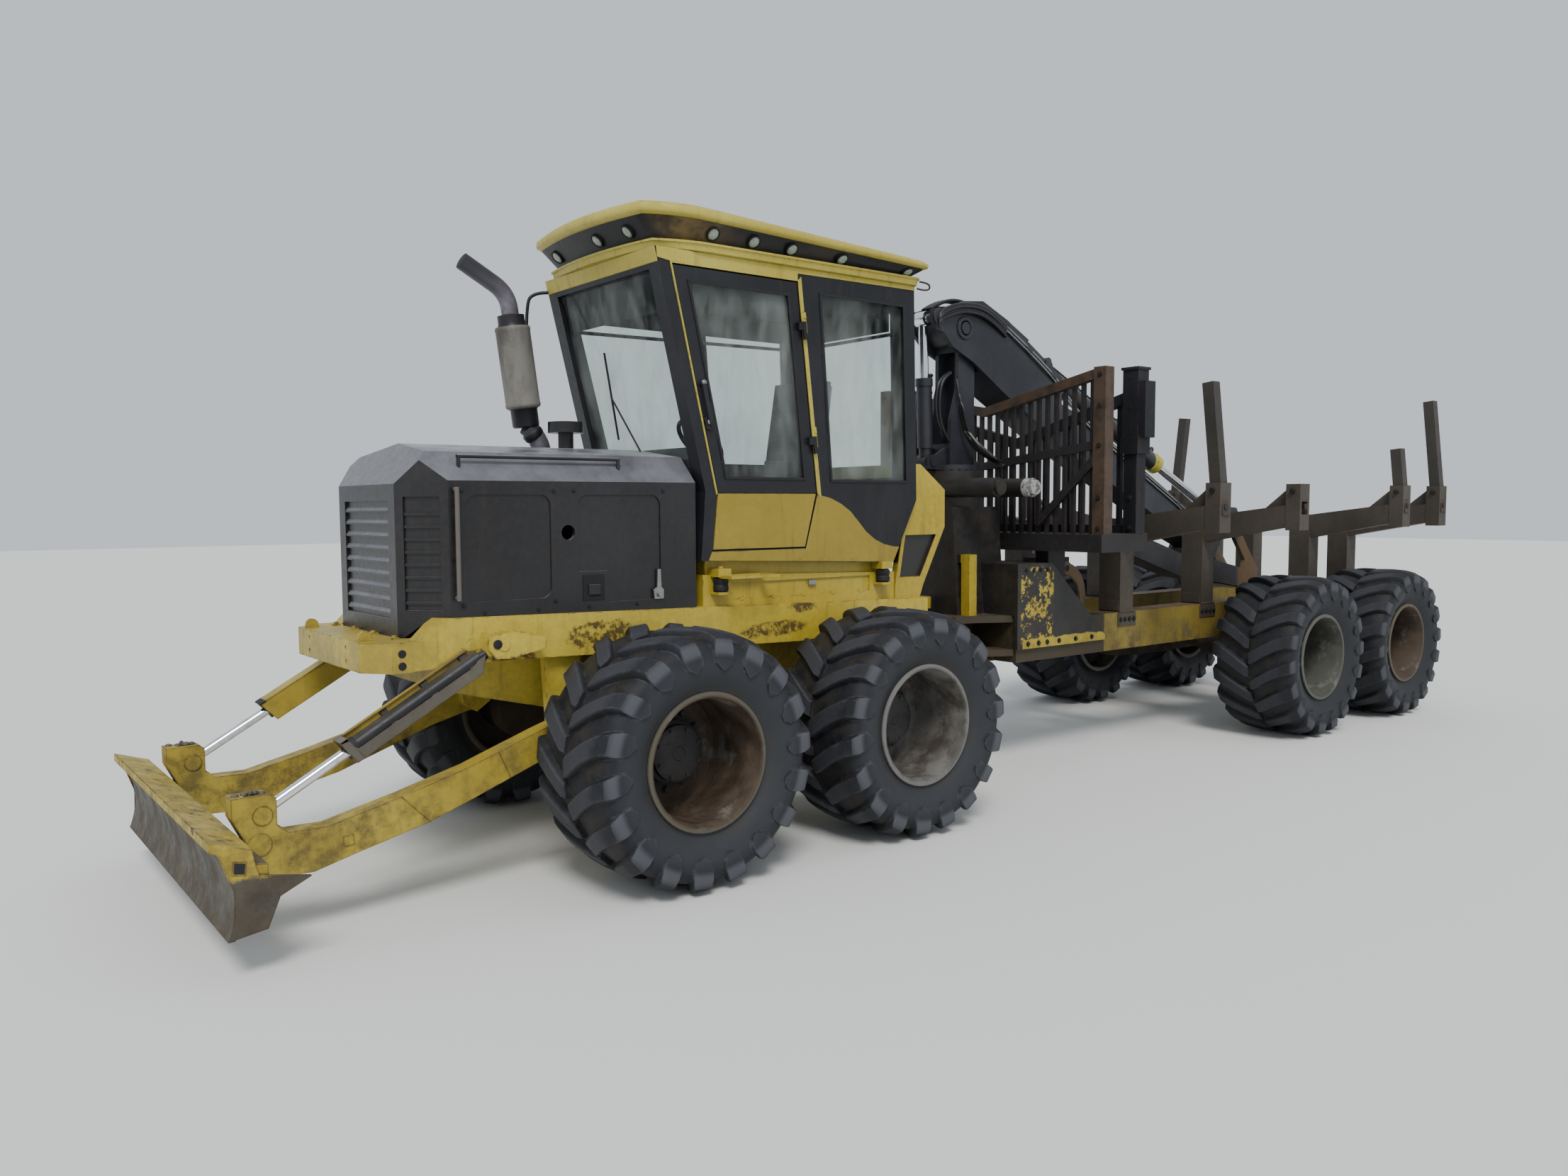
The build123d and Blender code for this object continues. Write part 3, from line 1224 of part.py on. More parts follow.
def make_grapple():
    station, height = stick_tip
    hanger = Part()
    for side in (-1, 1):
        hanger += side_plate(
            [(station - 60, height + 60), (station - 60, rotator_top), (station + 60, rotator_top), (station + 60, height + 60)],
            *sorted((side * 58, side * 80)),
        )
    hanger += cross_pin(stick_tip, 30, -92, 92)
    hanger += block((station - 70, station + 70), (-85, 85), (rotator_top - 30, rotator_top))
    hanger += upright_pin(station, 0, rotator_radius, rotator_split, rotator_top - 20)
    nodes["hanger"] = hanger

    head_top = rotator_split - 0.5
    plate_top = jaw_pin_height + 90
    head = upright_pin(station, 0, 85, plate_top - 5, head_top)
    pins = [(station + offset, jaw_pin_height) for offset in (-jaw_pin_offset, jaw_pin_offset)]
    for side in (-1, 1):
        head += side_plate(
            mirror_points_about(station, [(150, plate_top), (150, jaw_pin_height - 40)]),
            *sorted((side * 100, side * 120)),
        )
    head += block((station - 150, station + 150), (-120, 120), (plate_top - 25, plate_top))
    for pin in pins:
        head += cross_pin(pin, 25, -150, 150)
    nodes["grapple_head"] = head

    def jaw(direction):
        """One curved jaw, opening towards direction: +1 forward, -1 to the rear."""
        pin_x = station + direction * jaw_pin_offset
        tip_x = station + direction * 6
        outer = [
            (pin_x - direction * 30, jaw_pin_height + 45),
            (station + direction * jaw_reach, jaw_pin_height - 200),
            (tip_x, jaw_pin_height - jaw_drop),
        ]
        inner = [
            (pin_x - direction * 20, jaw_pin_height - 55),
            (station + direction * (jaw_reach - jaw_thickness), jaw_pin_height - 215),
            (tip_x, jaw_pin_height - jaw_drop + 65),
        ]

        def tine(y_from, y_to):
            outer_arc = ThreePointArc(*[(x, y_from, z) for x, z in outer])
            inner_arc = ThreePointArc(*[(x, y_from, z) for x, z in inner])
            tip_line = Line((outer[2][0], y_from, outer[2][1]), (inner[2][0], y_from, inner[2][1]))
            root_line = Line((outer[0][0], y_from, outer[0][1]), (inner[0][0], y_from, inner[0][1]))
            edges = [*outer_arc.edges(), *tip_line.edges(), *inner_arc.edges(), *root_line.edges()]
            plate_solid = extrude(make_face(Wire(edges)), amount=y_to - y_from, dir=(0, 1, 0))
            plate_solid += cross_pin((pin_x, jaw_pin_height), 55, y_from, y_to)
            return plate_solid

        solid = tine(-148, -126) + tine(126, 148)
        # Corners of the two cross webs as (reach from the middle, drop from the pins).
        back_web = [(jaw_reach - 59, 260), (jaw_reach - 37, 330), (jaw_reach - 105, 430), (jaw_reach - 130, 390)]
        low_web = [(90, jaw_drop - 43), (90, jaw_drop - 75), (14, jaw_drop - 50), (14, jaw_drop - 15)]
        for web in (back_web, low_web):
            corners = [(station + direction * reach, jaw_pin_height - drop) for reach, drop in web]
            solid += side_plate(corners, -130, 130)
        solid -= cross_pin((pin_x, jaw_pin_height), 25 + running_gap, -160, 160)
        return solid

    nodes["jaw_front"] = jaw(1)
    nodes["jaw_rear"] = jaw(-1)


make_wheels()
make_axles()
make_front_frame()
make_hood()
make_grille()
make_engine_and_exhaust()
make_cab()
make_roof()
make_cab_base()
make_rear_box()
make_blade()
make_steering()
make_rear_frame()
make_crane_base()
make_gates()
make_bunks()
make_mast()
make_boom()
make_stick()
make_grapple()

os.makedirs("parts", exist_ok=True)
for name, shape in nodes.items():
    solids = [Pos(origin_shift, 0, 0) * solid for solid in shape.solids()]
    whole = solids[0] if len(solids) == 1 else Compound(children=solids)
    export_step(whole, f"parts/{name}.step")
print(len(nodes), "nodes")
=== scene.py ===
import math
import random

import bmesh
import bpy
from mathutils import Matrix, Vector


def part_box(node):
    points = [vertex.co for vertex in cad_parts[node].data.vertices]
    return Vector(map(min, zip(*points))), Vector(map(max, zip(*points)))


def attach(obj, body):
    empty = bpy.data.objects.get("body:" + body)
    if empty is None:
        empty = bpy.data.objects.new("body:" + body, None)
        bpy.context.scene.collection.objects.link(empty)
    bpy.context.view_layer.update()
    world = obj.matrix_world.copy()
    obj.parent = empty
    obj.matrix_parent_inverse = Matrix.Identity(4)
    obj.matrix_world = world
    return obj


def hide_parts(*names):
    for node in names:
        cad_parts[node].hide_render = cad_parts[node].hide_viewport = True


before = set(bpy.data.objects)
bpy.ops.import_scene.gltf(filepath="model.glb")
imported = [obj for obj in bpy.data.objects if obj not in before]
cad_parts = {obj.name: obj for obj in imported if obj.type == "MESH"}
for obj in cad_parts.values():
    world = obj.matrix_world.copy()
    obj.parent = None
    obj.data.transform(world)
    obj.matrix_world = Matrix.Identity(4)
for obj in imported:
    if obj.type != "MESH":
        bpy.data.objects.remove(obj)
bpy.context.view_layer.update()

# Stations run forward from the front bogie's centre, as in the part's source, in millimetres.
ROW_SHIFT = 2.385
draws = random.Random(11)


def at(station, y, z):
    return Vector((station / 1000 + ROW_SHIFT, y / 1000, z / 1000))


# Camera, floor and light

# The photograph's camera, fitted to the wheels, the frame and the cab: place, and yaw, pitch and roll in degrees.
PHOTO_WIDTH = 2212
FOCAL_PIXELS = 1634
SENSOR_WIDTH = 36.0
CAMERA_PLACE = (4062, 6176, 1965)
CAMERA_TURN = (-38.44, -4.06, -0.30)


def add_camera():
    """The photograph's camera: level is the image's horizontal before the camera's small roll."""
    yaw, pitch, roll = (math.radians(angle) for angle in CAMERA_TURN)
    forward = Vector((math.sin(yaw) * math.cos(pitch), -math.cos(yaw) * math.cos(pitch), math.sin(pitch)))
    level = Vector((-math.cos(yaw), -math.sin(yaw), 0))
    upright = level.cross(forward)
    right = math.cos(roll) * level + math.sin(roll) * upright
    up = -math.sin(roll) * level + math.cos(roll) * upright
    data = bpy.data.cameras.new("camera")
    data.sensor_fit = "HORIZONTAL"
    data.sensor_width = SENSOR_WIDTH
    data.lens = SENSOR_WIDTH * FOCAL_PIXELS / PHOTO_WIDTH
    data.clip_end = 200
    camera = bpy.data.objects.new("camera", data)
    place = Matrix((right, up, -forward)).transposed().to_4x4()
    place.translation = at(*CAMERA_PLACE)
    camera.matrix_world = place
    bpy.context.scene.collection.objects.link(camera)
    bpy.context.scene.camera = camera


def add_light(name, kind, place, target, energy, size, colour):
    data = bpy.data.lights.new(name, kind)
    data.energy = energy
    data.color = colour
    if kind == "AREA":
        data.size = size
    else:
        data.angle = size
    light = bpy.data.objects.new(name, data)
    light.location = place
    light.rotation_euler = (Vector(target) - Vector(place)).to_track_quat("-Z", "Y").to_euler()
    bpy.context.scene.collection.objects.link(light)


def add_studio():
    mesh = bpy.data.meshes.new("studio_floor")
    edge = 60
    mesh.from_pydata([(-edge, -edge, 0), (edge, -edge, 0), (edge, edge, 0), (-edge, edge, 0)], [], [(0, 1, 2, 3)])
    floor = bpy.data.objects.new("studio_floor", mesh)
    bpy.context.scene.collection.objects.link(floor)
    ground = Shader("studio_floor")
    mesh.materials.append(ground.finish((0.72, 0.73, 0.72), 0.9))
    world = bpy.data.worlds.new("studio")
    bpy.context.scene.world = world
    world.use_nodes = True
    back = world.node_tree.nodes["Background"]
    back.inputs["Color"].default_value = (0.88, 0.94, 1.0, 1)
    back.inputs["Strength"].default_value = 0.80
    add_light("key", "SUN", (6, 9, 14), (0, 0, 1), 2.5, math.radians(20), (1.0, 0.97, 0.92))
    add_light("fill", "AREA", (12, 3, 5), (1, 0, 1), 42, 8, (0.9, 0.95, 1.0))


# Materials

# Specks per metre below which a noise gets no finer.
FINEST = 500


class Shader:
    """A node tree with short calls for the nodes that the materials share."""

    def __init__(self, name, shift=0.0):
        self.shift = shift
        self.material = bpy.data.materials.new(name)
        self.material.use_nodes = True
        self.tree = self.material.node_tree
        self.tree.nodes.clear()
        self.out = self.tree.nodes.new("ShaderNodeOutputMaterial")
        self.surface = self.tree.nodes.new("ShaderNodeBsdfPrincipled")
        self.link(self.surface.outputs[0], self.out.inputs[0])
        self.place = self.tree.nodes.new("ShaderNodeTexCoord").outputs["Object"]

    def link(self, a, b):
        self.tree.links.new(a, b)

    def feed(self, value, socket):
        if isinstance(value, bpy.types.NodeSocket):
            self.link(value, socket)
        elif isinstance(value, (tuple, list)):
            socket.default_value = (*value[:3], 1)
        else:
            socket.default_value = value

    def noise(self, scale, detail=4.0, rough=0.55, stretch=(1, 1, 1), distortion=0.0):
        mapping = self.tree.nodes.new("ShaderNodeMapping")
        mapping.inputs["Scale"].default_value = stretch
        mapping.inputs["Location"].default_value = (self.shift, self.shift, self.shift)
        self.link(self.place, mapping.inputs["Vector"])
        node = self.tree.nodes.new("ShaderNodeTexNoise")
        self.link(mapping.outputs[0], node.inputs["Vector"])
        node.inputs["Scale"].default_value = scale
        node.inputs["Detail"].default_value = min(detail, math.log2(FINEST / scale))
        node.inputs["Roughness"].default_value = rough
        node.inputs["Distortion"].default_value = distortion
        return node.outputs["Fac"]

    def band(self, value, low, high):
        """0 below low, 1 above high."""
        node = self.tree.nodes.new("ShaderNodeMapRange")
        node.interpolation_type = "SMOOTHSTEP"
        self.feed(value, node.inputs["Value"])
        node.inputs["From Min"].default_value = low
        node.inputs["From Max"].default_value = high
        return node.outputs["Result"]

    def calc(self, operation, a, b=0.0, clamp=False):
        node = self.tree.nodes.new("ShaderNodeMath")
        node.operation = operation
        node.use_clamp = clamp
        self.feed(a, node.inputs[0])
        self.feed(b, node.inputs[1])
        return node.outputs[0]

    def times(self, a, b, clamp=False):
        return self.calc("MULTIPLY", a, b, clamp)

    def plus(self, a, b, clamp=False):
        return self.calc("ADD", a, b, clamp)

    def less(self, a, b, clamp=False):
        return self.calc("SUBTRACT", a, b, clamp)

    def larger(self, a, b):
        return self.calc("MAXIMUM", a, b)

    def mix(self, share, a, b):
        node = self.tree.nodes.new("ShaderNodeMix")
        node.data_type = "RGBA"
        self.feed(share, node.inputs[0])
        self.feed(a, node.inputs[6])
        self.feed(b, node.inputs[7])
        return node.outputs[2]

    def part(self, axis):
        """The row frame's X, Y or Z of the shaded point, in metres."""
        node = self.tree.nodes.new("ShaderNodeSeparateXYZ")
        self.link(self.place, node.inputs[0])
        return node.outputs[axis]

    def within(self, axis, low, high, soft=0.004):
        """1 where the part frame's axis lies between low and high; a number for axis, or any value."""
        value = self.part(axis) if isinstance(axis, int) else axis
        return self.times(self.band(value, low - soft, low + soft), self.band(value, high + soft, high - soft))

    def all_of(self, *masks):
        whole = masks[0]
        for mask in masks[1:]:
            whole = self.times(whole, mask)
        return whole

    def any_of(self, *masks):
        whole = masks[0]
        for mask in masks[1:]:
            whole = self.larger(whole, mask)
        return whole

    def from_axle(self):
        """The distance from a wheel's axle, which runs along its own Y."""
        return self.calc("SQRT", self.plus(self.calc("POWER", self.part(0), 2.0),
                                           self.calc("POWER", self.part(2), 2.0)))

    def out_from_middle(self):
        return self.calc("ABSOLUTE", self.part(1))

    def facing_up(self):
        geometry = self.tree.nodes.new("ShaderNodeNewGeometry")
        node = self.tree.nodes.new("ShaderNodeSeparateXYZ")
        self.link(geometry.outputs["Normal"], node.inputs[0])
        return node.outputs[2]

    def edges(self, radius=0.012):
        """Near 1 along sharp edges, from the difference between a rounded and the plain normal."""
        bevel = self.tree.nodes.new("ShaderNodeBevel")
        bevel.samples = 4
        bevel.inputs["Radius"].default_value = radius
        geometry = self.tree.nodes.new("ShaderNodeNewGeometry")
        dot = self.tree.nodes.new("ShaderNodeVectorMath")
        dot.operation = "DOT_PRODUCT"
        self.link(bevel.outputs[0], dot.inputs[0])
        self.link(geometry.outputs["Normal"], dot.inputs[1])
        return self.band(self.less(1.0, dot.outputs["Value"]), 0.01, 0.16)

    def bump(self, height, strength=0.3, distance=0.004):
        node = self.tree.nodes.new("ShaderNodeBump")
        node.inputs["Strength"].default_value = strength
        node.inputs["Distance"].default_value = distance
        self.feed(height, node.inputs["Height"])
        self.link(node.outputs[0], self.surface.inputs["Normal"])

    def finish(self, colour=None, rough=None, metal=None, **more):
        for value, name in ((colour, "Base Color"), (rough, "Roughness"), (metal, "Metallic")):
            if value is not None:
                self.feed(value, self.surface.inputs[name])
        for name, value in more.items():
            self.feed(value, self.surface.inputs[name.replace("_", " ")])
        return self.material


def plain(name, colour, rough, metal=0.0):
    """A quiet finish with a little mottling, for small pieces."""
    s = Shader(name)
    tone = s.noise(9, 5)
    dark = tuple(c * 0.72 for c in colour)
    shade = s.mix(s.band(tone, 0.35, 0.7), dark, colour)
    s.bump(s.noise(160, 3), 0.12, 0.001)
    return s.finish(shade, rough, metal)


def row(station):
    return station / 1000 + ROW_SHIFT


YELLOW = (0.42, 0.305, 0.020)
FADED = (0.50, 0.385, 0.045)
SOIL = (0.060, 0.042, 0.020)
BLACK = (0.0075, 0.008, 0.011)
DULL_BLACK = (0.017, 0.018, 0.023)
DULL_DIRT = (0.030, 0.026, 0.020)
# Where the front frame is rubbed bare: station, then height, half length and half height in metres.
FRAME_RUBS = ((880, 1.27, 0.30, 0.09), (-230, 1.22, 0.26, 0.05), (-480, 1.345, 0.13, 0.035), (1480, 1.18, 0.2, 0.05))


def painted(name, colour, worn, dirt, chips=0.5, mud=0.3, gloss=0.42, rust=(0.085, 0.034, 0.015), dust_and_sheen=0.35,
            dust_and_sheen_tone=(0.20, 0.165, 0.11), shine=0.5, zones=None):
    """Sheet-metal paint: faded patches, run-down streaks, chipped edges with rust, a dusting on top (painted sky sheen
    on the hood) and mud low down.
    """
    s = Shader(name)
    fade = s.band(s.noise(1.3, 6, 0.6), 0.35, 0.7)
    shade = s.mix(fade, colour, worn)
    if zones:
        shade = zones(s, shade)
    fine = s.band(s.noise(26, 6, 0.7), 0.3, 0.75)
    shade = s.mix(s.times(fine, 0.22), shade, SOIL if zones else tuple(c * 0.6 for c in colour))
    streak = s.band(s.noise(5, 6, 0.65, (3.2, 3.2, 0.28)), 0.52, 0.78)
    shade = s.mix(s.times(streak, 0.45), shade, dirt)
    low = s.band(s.plus(s.part(2), s.times(s.noise(3, 6), 0.8)), 1.75, 0.75)
    grime = s.times(s.times(low, s.band(s.noise(7, 8, 0.7), 0.38, 0.66)), mud * 2, True)
    shade = s.mix(grime, shade, dirt)
    # Tint on up-facing surfaces: a real dusting on most paints; on the hood its pale blue-grey tone is a painted sky
    # reflection.
    top = s.times(s.band(s.facing_up(), 0.55, 0.95), s.band(s.noise(4, 6, 0.65), 0.3, 0.75))
    shade = s.mix(s.times(top, dust_and_sheen), shade, dust_and_sheen_tone)
    worn_edge = s.times(s.edges(), s.band(s.noise(16, 8, 0.75), 0.62 - 0.28 * chips, 0.72 - 0.2 * chips))
    spots = s.band(s.noise(11, 10, 0.75, distortion=0.4), 0.74 - 0.06 * chips, 0.80)
    bare = s.larger(worn_edge, s.times(spots, 0.9))
    rusty = s.mix(s.band(s.noise(40, 6, 0.7), 0.35, 0.7), rust, tuple(c * 0.45 for c in rust))
    shade = s.mix(bare, shade, rusty)
    rough = s.plus(gloss, s.times(s.larger(bare, grime), 0.4), True)
    rough = s.plus(rough, s.times(fine, 0.12), True)
    s.bump(s.plus(s.noise(60, 3), s.noise(16, 2)), 0.16, 0.002)
    return s.finish(shade, rough, Specular_IOR_Level=shine)


def frame_zones(s, shade):
    """Bare, rusty stretches where boots and wheels rub the front frame, and a duller nose."""
    side = s.band(s.out_from_middle(), 0.60, 0.63)
    rough = s.times(s.less(s.noise(5, 9, 0.75), 0.5), 0.34)
    rubs = []
    for station, height, length, tall in FRAME_RUBS:
        along = s.calc("DIVIDE", s.less(s.part(0), row(station)), length)
        up = s.calc("DIVIDE", s.less(s.part(2), height), tall)
        away = s.plus(s.calc("POWER", along, 2.0), s.calc("POWER", up, 2.0))
        rubs.append(s.band(s.plus(away, s.times(rough, 15.0)), 1.0, 0.45))
    speckle = s.band(s.noise(19, 9, 0.75), 0.38, 0.54)
    rub = s.all_of(s.any_of(*rubs), side, speckle)
    shade = s.mix(s.times(rub, 0.9), shade, (0.060, 0.030, 0.016))
    nose = s.all_of(s.band(s.part(0), row(1560), row(1800)), s.band(s.noise(2.4, 6, 0.65), 0.30, 0.60))
    return s.mix(s.times(nose, 0.6), shade, (0.215, 0.165, 0.030))


def stick_zones(s, shade):
    """The outer boom's knuckle is scraped to tan, rusty steel."""
    knuckle = s.all_of(s.band(s.part(0), row(-6230), row(-6330)), s.band(s.noise(5, 8, 0.7), 0.30, 0.42))
    return s.mix(knuckle, shade, (0.135, 0.090, 0.052))


def fold_barrel_zones(s, shade):
    """A yellow gland at the fold cylinder's mouth."""
    gland = s.band(s.part(0), row(-5045), row(-5055))
    return s.mix(gland, shade, (0.46, 0.40, 0.06))


def rear_box_zones(s, shade):
    """Dark screens within the yellow side frames, and a pale top."""
    screen = s.all_of(s.within(s.out_from_middle(), 0.560, 0.6045, 0.002), s.within(2, 1.484, 1.764, 0.002),
                      s.within(0, row(-1700), row(-1330), 0.002))
    pale = s.all_of(s.band(s.facing_up(), 0.25, 0.5), s.band(s.part(2), 2.0, 2.05))
    shade = s.mix(s.times(pale, 0.7), shade, (0.66, 0.55, 0.33))
    return s.mix(screen, shade, (0.012, 0.012, 0.013))


def hood_zones(s, shade):
    """A pale blue-grey top that is a painted sky reflection, and upright grab handles that hands have worn to grey."""
    # Painted sky reflection: up-facing surfaces turn pale blue-grey.
    top = s.times(s.band(s.facing_up(), 0.22, 0.62), s.band(s.noise(2.1, 5, 0.6), 0.10, 0.55))
    shade = s.mix(s.times(top, 0.85), shade, (0.125, 0.130, 0.152))
    handle = s.all_of(s.band(s.out_from_middle(), 0.624, 0.628), s.within(0, row(1725), row(1765)))
    return s.mix(handle, shade, (0.11, 0.10, 0.09))


def lamp_band_zones(s, shade):
    """The lamp band's paint has gone brown at its front corners and between the side lamps."""
    corner = s.all_of(s.band(s.out_from_middle(), 0.56, 0.64), s.within(0, row(180), row(560), 0.16))
    along = s.all_of(s.band(s.out_from_middle(), 0.60, 0.64), s.band(s.noise(2.6, 7, 0.65), 0.48, 0.66))
    brown = s.mix(s.band(s.noise(6, 8, 0.7), 0.4, 0.62), (0.17, 0.115, 0.035), (0.060, 0.038, 0.014))
    shade = s.mix(s.times(along, 0.5), shade, (0.040, 0.028, 0.012))
    return s.mix(s.times(corner, 0.85), shade, brown)


def blade_zones(s, shade):
    """The board is worn to brown steel, darkened further as painted shade on its face; paint stays on its top edge and
    on the end plates' upper half.
    """
    ragged = s.plus(s.part(2), s.times(s.noise(9, 8, 0.7), 0.09))
    bare = s.any_of(s.band(ragged, 0.595, 0.575), s.band(s.noise(13, 8, 0.75), 0.57, 0.62))
    ends = s.all_of(s.band(s.out_from_middle(), 1.085, 1.095), s.band(ragged, 0.47, 0.50))
    bare = s.less(bare, ends, True)
    # Bare brown steel, with its tones lowered as painted shade for the board's shadowed face.
    steel = s.mix(s.band(s.noise(6, 8, 0.7), 0.36, 0.66), (0.068, 0.060, 0.043), (0.030, 0.025, 0.018))
    return s.mix(bare, shade, steel)


def crane_base_zones(s, shade):
    """Black housing and cheeks, with yellow posts, a worn yellow patch and a yellow lower strip."""
    out = s.band(s.out_from_middle(), 0.592, 0.598)
    patch = s.all_of(out, s.within(0, row(-2930), row(-2560), 0.01), s.within(2, 0.94, 1.50, 0.01),
                     s.band(s.noise(8, 9, 0.75), 0.505, 0.535))
    strip = s.all_of(out, s.within(0, row(-3600), row(-2580)),
                     s.band(s.plus(s.part(2), s.times(s.noise(10, 8, 0.7), 0.06)), 1.005, 0.995))
    post = s.all_of(s.within(0, row(-2350), row(-2260)), s.band(s.out_from_middle(), 0.300, 0.306),
                    s.band(s.part(2), 1.61, 1.60))
    dark = s.mix(s.band(s.noise(5, 7, 0.7), 0.35, 0.7), BLACK, (0.026, 0.023, 0.020))
    shade = s.mix(s.any_of(patch, strip, post), dark, shade)
    worn_end = s.all_of(s.band(s.out_from_middle(), 0.560, 0.566), s.within(2, 1.95, 2.17),
                        s.band(s.part(0), row(-2595), row(-2605)))
    silver = s.mix(s.band(s.noise(22, 7, 0.7), 0.42, 0.62), (0.50, 0.50, 0.49), (0.12, 0.12, 0.12))
    return s.mix(worn_end, shade, silver)


def headboard_zones(s, shade):
    """Rusty brown end posts and top rail round the black slats."""
    posts = s.all_of(s.band(s.out_from_middle(), 1.045, 1.050), s.band(s.part(2), 1.745, 1.755))
    height = s.less(s.part(2), s.times(s.out_from_middle(), 0.1955))
    rail = s.band(height, 2.640, 2.650)
    brown = s.mix(s.band(s.noise(7, 8, 0.7), 0.38, 0.66), (0.075, 0.046, 0.030), (0.030, 0.023, 0.019))
    return s.mix(s.any_of(posts, rail), shade, brown)


def rear_frame_zones(s, shade):
    """Rust and bark on top of the rails, with dark necks at the hinge."""
    top = s.all_of(s.band(s.facing_up(), 0.5, 0.9), s.band(s.noise(4, 7, 0.7), 0.30, 0.46))
    shade = s.mix(top, shade, (0.105, 0.055, 0.030))
    neck = s.band(s.part(0), row(-3610), row(-3590))
    return s.mix(s.times(neck, 0.93), shade, (0.018, 0.015, 0.012))


def rubber_tyre(name, shift, share):
    """Object coordinates are about the wheel's own centre, with its axle along Y; share dims the tones as painted
    shade.
    """
    s = Shader(name, shift)
    radius = s.from_axle()
    tone = s.band(s.noise(6, 7, 0.65), 0.3, 0.72)
    shade = s.mix(tone, (0.0085, 0.0095, 0.0130), (0.021, 0.023, 0.029))
    side = s.band(s.plus(radius, s.times(s.noise(8, 6), 0.03)), 0.60, 0.50)
    shade = s.mix(s.times(side, 0.5), shade, (0.040, 0.043, 0.049))
    lug = s.band(s.plus(radius, s.times(s.noise(30, 6), 0.016)), 0.662, 0.680)
    shade = s.mix(s.times(lug, 0.7), shade, (0.045, 0.047, 0.056))
    stub = s.all_of(s.band(s.out_from_middle(), 0.335, 0.347), s.within(radius, 0.555, 0.645, 0.02))
    shade = s.mix(s.times(stub, 0.75), shade, (0.085, 0.090, 0.105))
    # Lighter blue-grey lug edges: rubbed wear, together with a painted highlight along the edges.
    rubbed_and_highlit = s.times(s.edges(0.02), s.band(s.noise(12, 6, 0.7), 0.42, 0.66))
    shade = s.mix(s.times(rubbed_and_highlit, 0.6), shade, (0.095, 0.097, 0.108))
    groove = s.band(s.plus(radius, s.times(s.noise(14, 7), 0.03)), 0.668, 0.652)
    crown = s.band(s.out_from_middle(), 0.33, 0.26)
    earth = s.all_of(groove, crown, s.band(s.noise(9, 8, 0.7), 0.4, 0.62))
    shade = s.mix(s.times(earth, 0.6), shade, (0.038, 0.030, 0.021))
    # Painted shade: a share below 1 darkens the whole tyre, for the rear tyres that stand in shade.
    shade = s.mix(1.0 - share, shade, (0.006, 0.007, 0.010))
    s.bump(s.plus(s.noise(90, 5, 0.6), s.times(s.noise(12, 5), 0.8)), 0.28, 0.004)
    return s.finish(shade, s.plus(0.56, s.times(tone, 0.22)), Specular_IOR_Level=0.32)


def rusty_rim(name, deep, light, flange, grey_share):
    """deep and light are the barrel's two tones, flange that of its outer lip."""
    s = Shader(name)
    radius = s.from_axle()
    patch = s.band(s.noise(3.4, 8, 0.65, distortion=0.5), 0.36, 0.66)
    shade = s.mix(patch, deep, light)
    grey = s.band(s.noise(5, 7, 0.7), 0.62 - 0.3 * grey_share, 0.80 - 0.3 * grey_share)
    shade = s.mix(s.times(grey, 0.7), shade, (0.17, 0.165, 0.155))
    lip = s.band(radius, 0.338, 0.346)
    shade = s.mix(s.times(lip, 0.8), shade, flange)
    core = s.band(radius, 0.26, 0.19)
    shade = s.mix(s.times(core, 0.75), shade, (0.015, 0.016, 0.020))
    s.bump(s.plus(s.noise(70, 7, 0.7), s.noise(14, 4)), 0.35, 0.003)
    return s.finish(shade, s.plus(0.55, s.times(patch, 0.3)), 0.1)


def dusty_glass():
    s = Shader("window_glass")
    film = s.band(s.noise(2.2, 7, 0.62, (1, 1, 0.7)), 0.32, 0.75)
    wiped = s.band(s.noise(13, 6, 0.6, (1, 1, 0.25)), 0.4, 0.8)
    share = s.plus(s.times(film, 0.11), s.times(wiped, 0.07), True)
    shade = s.mix(share, (0.86, 0.92, 0.90), (0.46, 0.47, 0.44))
    s.link(s.less(1.0, share), s.surface.inputs["Transmission Weight"])
    return s.finish(shade, s.times(share, 0.5), IOR=1.12)


def bright_rod():
    s = Shader("chromed_rod")
    oil = s.band(s.noise(9, 5, 0.6), 0.5, 0.8)
    shade = s.mix(oil, (0.80, 0.82, 0.86), (0.45, 0.43, 0.40))
    return s.finish(shade, s.plus(0.12, s.times(oil, 0.25)), 1.0)


def burnt_steel():
    """The exhaust pipe's brown, with darker soot towards the tip."""
    s = Shader("exhaust_pipe")
    soot = s.band(s.plus(s.part(2), s.times(s.noise(7, 5), 0.2)), 3.25, 3.5)
    shade = s.mix(s.band(s.noise(14, 7, 0.7), 0.35, 0.7), (0.120, 0.108, 0.130), (0.205, 0.190, 0.230))
    shade = s.mix(soot, shade, (0.035, 0.035, 0.045))
    s.bump(s.noise(90, 6, 0.7), 0.3, 0.002)
    return s.finish(shade, 0.55, 0.4)


def muffler_tan():
    s = Shader("silencer_tan")
    stain = s.band(s.noise(6, 8, 0.68, (1, 1, 0.45)), 0.36, 0.7)
    shade = s.mix(stain, (0.175, 0.165, 0.145), (0.070, 0.060, 0.048))
    s.bump(s.noise(60, 6, 0.7), 0.25, 0.002)
    return s.finish(shade, 0.6)


def woven_seat():
    s = Shader("seat_cloth")
    weave = s.tree.nodes.new("ShaderNodeTexWave")
    weave.inputs["Scale"].default_value = 160
    s.link(s.place, weave.inputs["Vector"])
    shade = s.mix(s.band(s.noise(6, 6), 0.35, 0.7), (0.030, 0.031, 0.036), (0.065, 0.064, 0.068))
    s.bump(weave.outputs["Fac"], 0.4, 0.001)
    return s.finish(shade, 0.9)


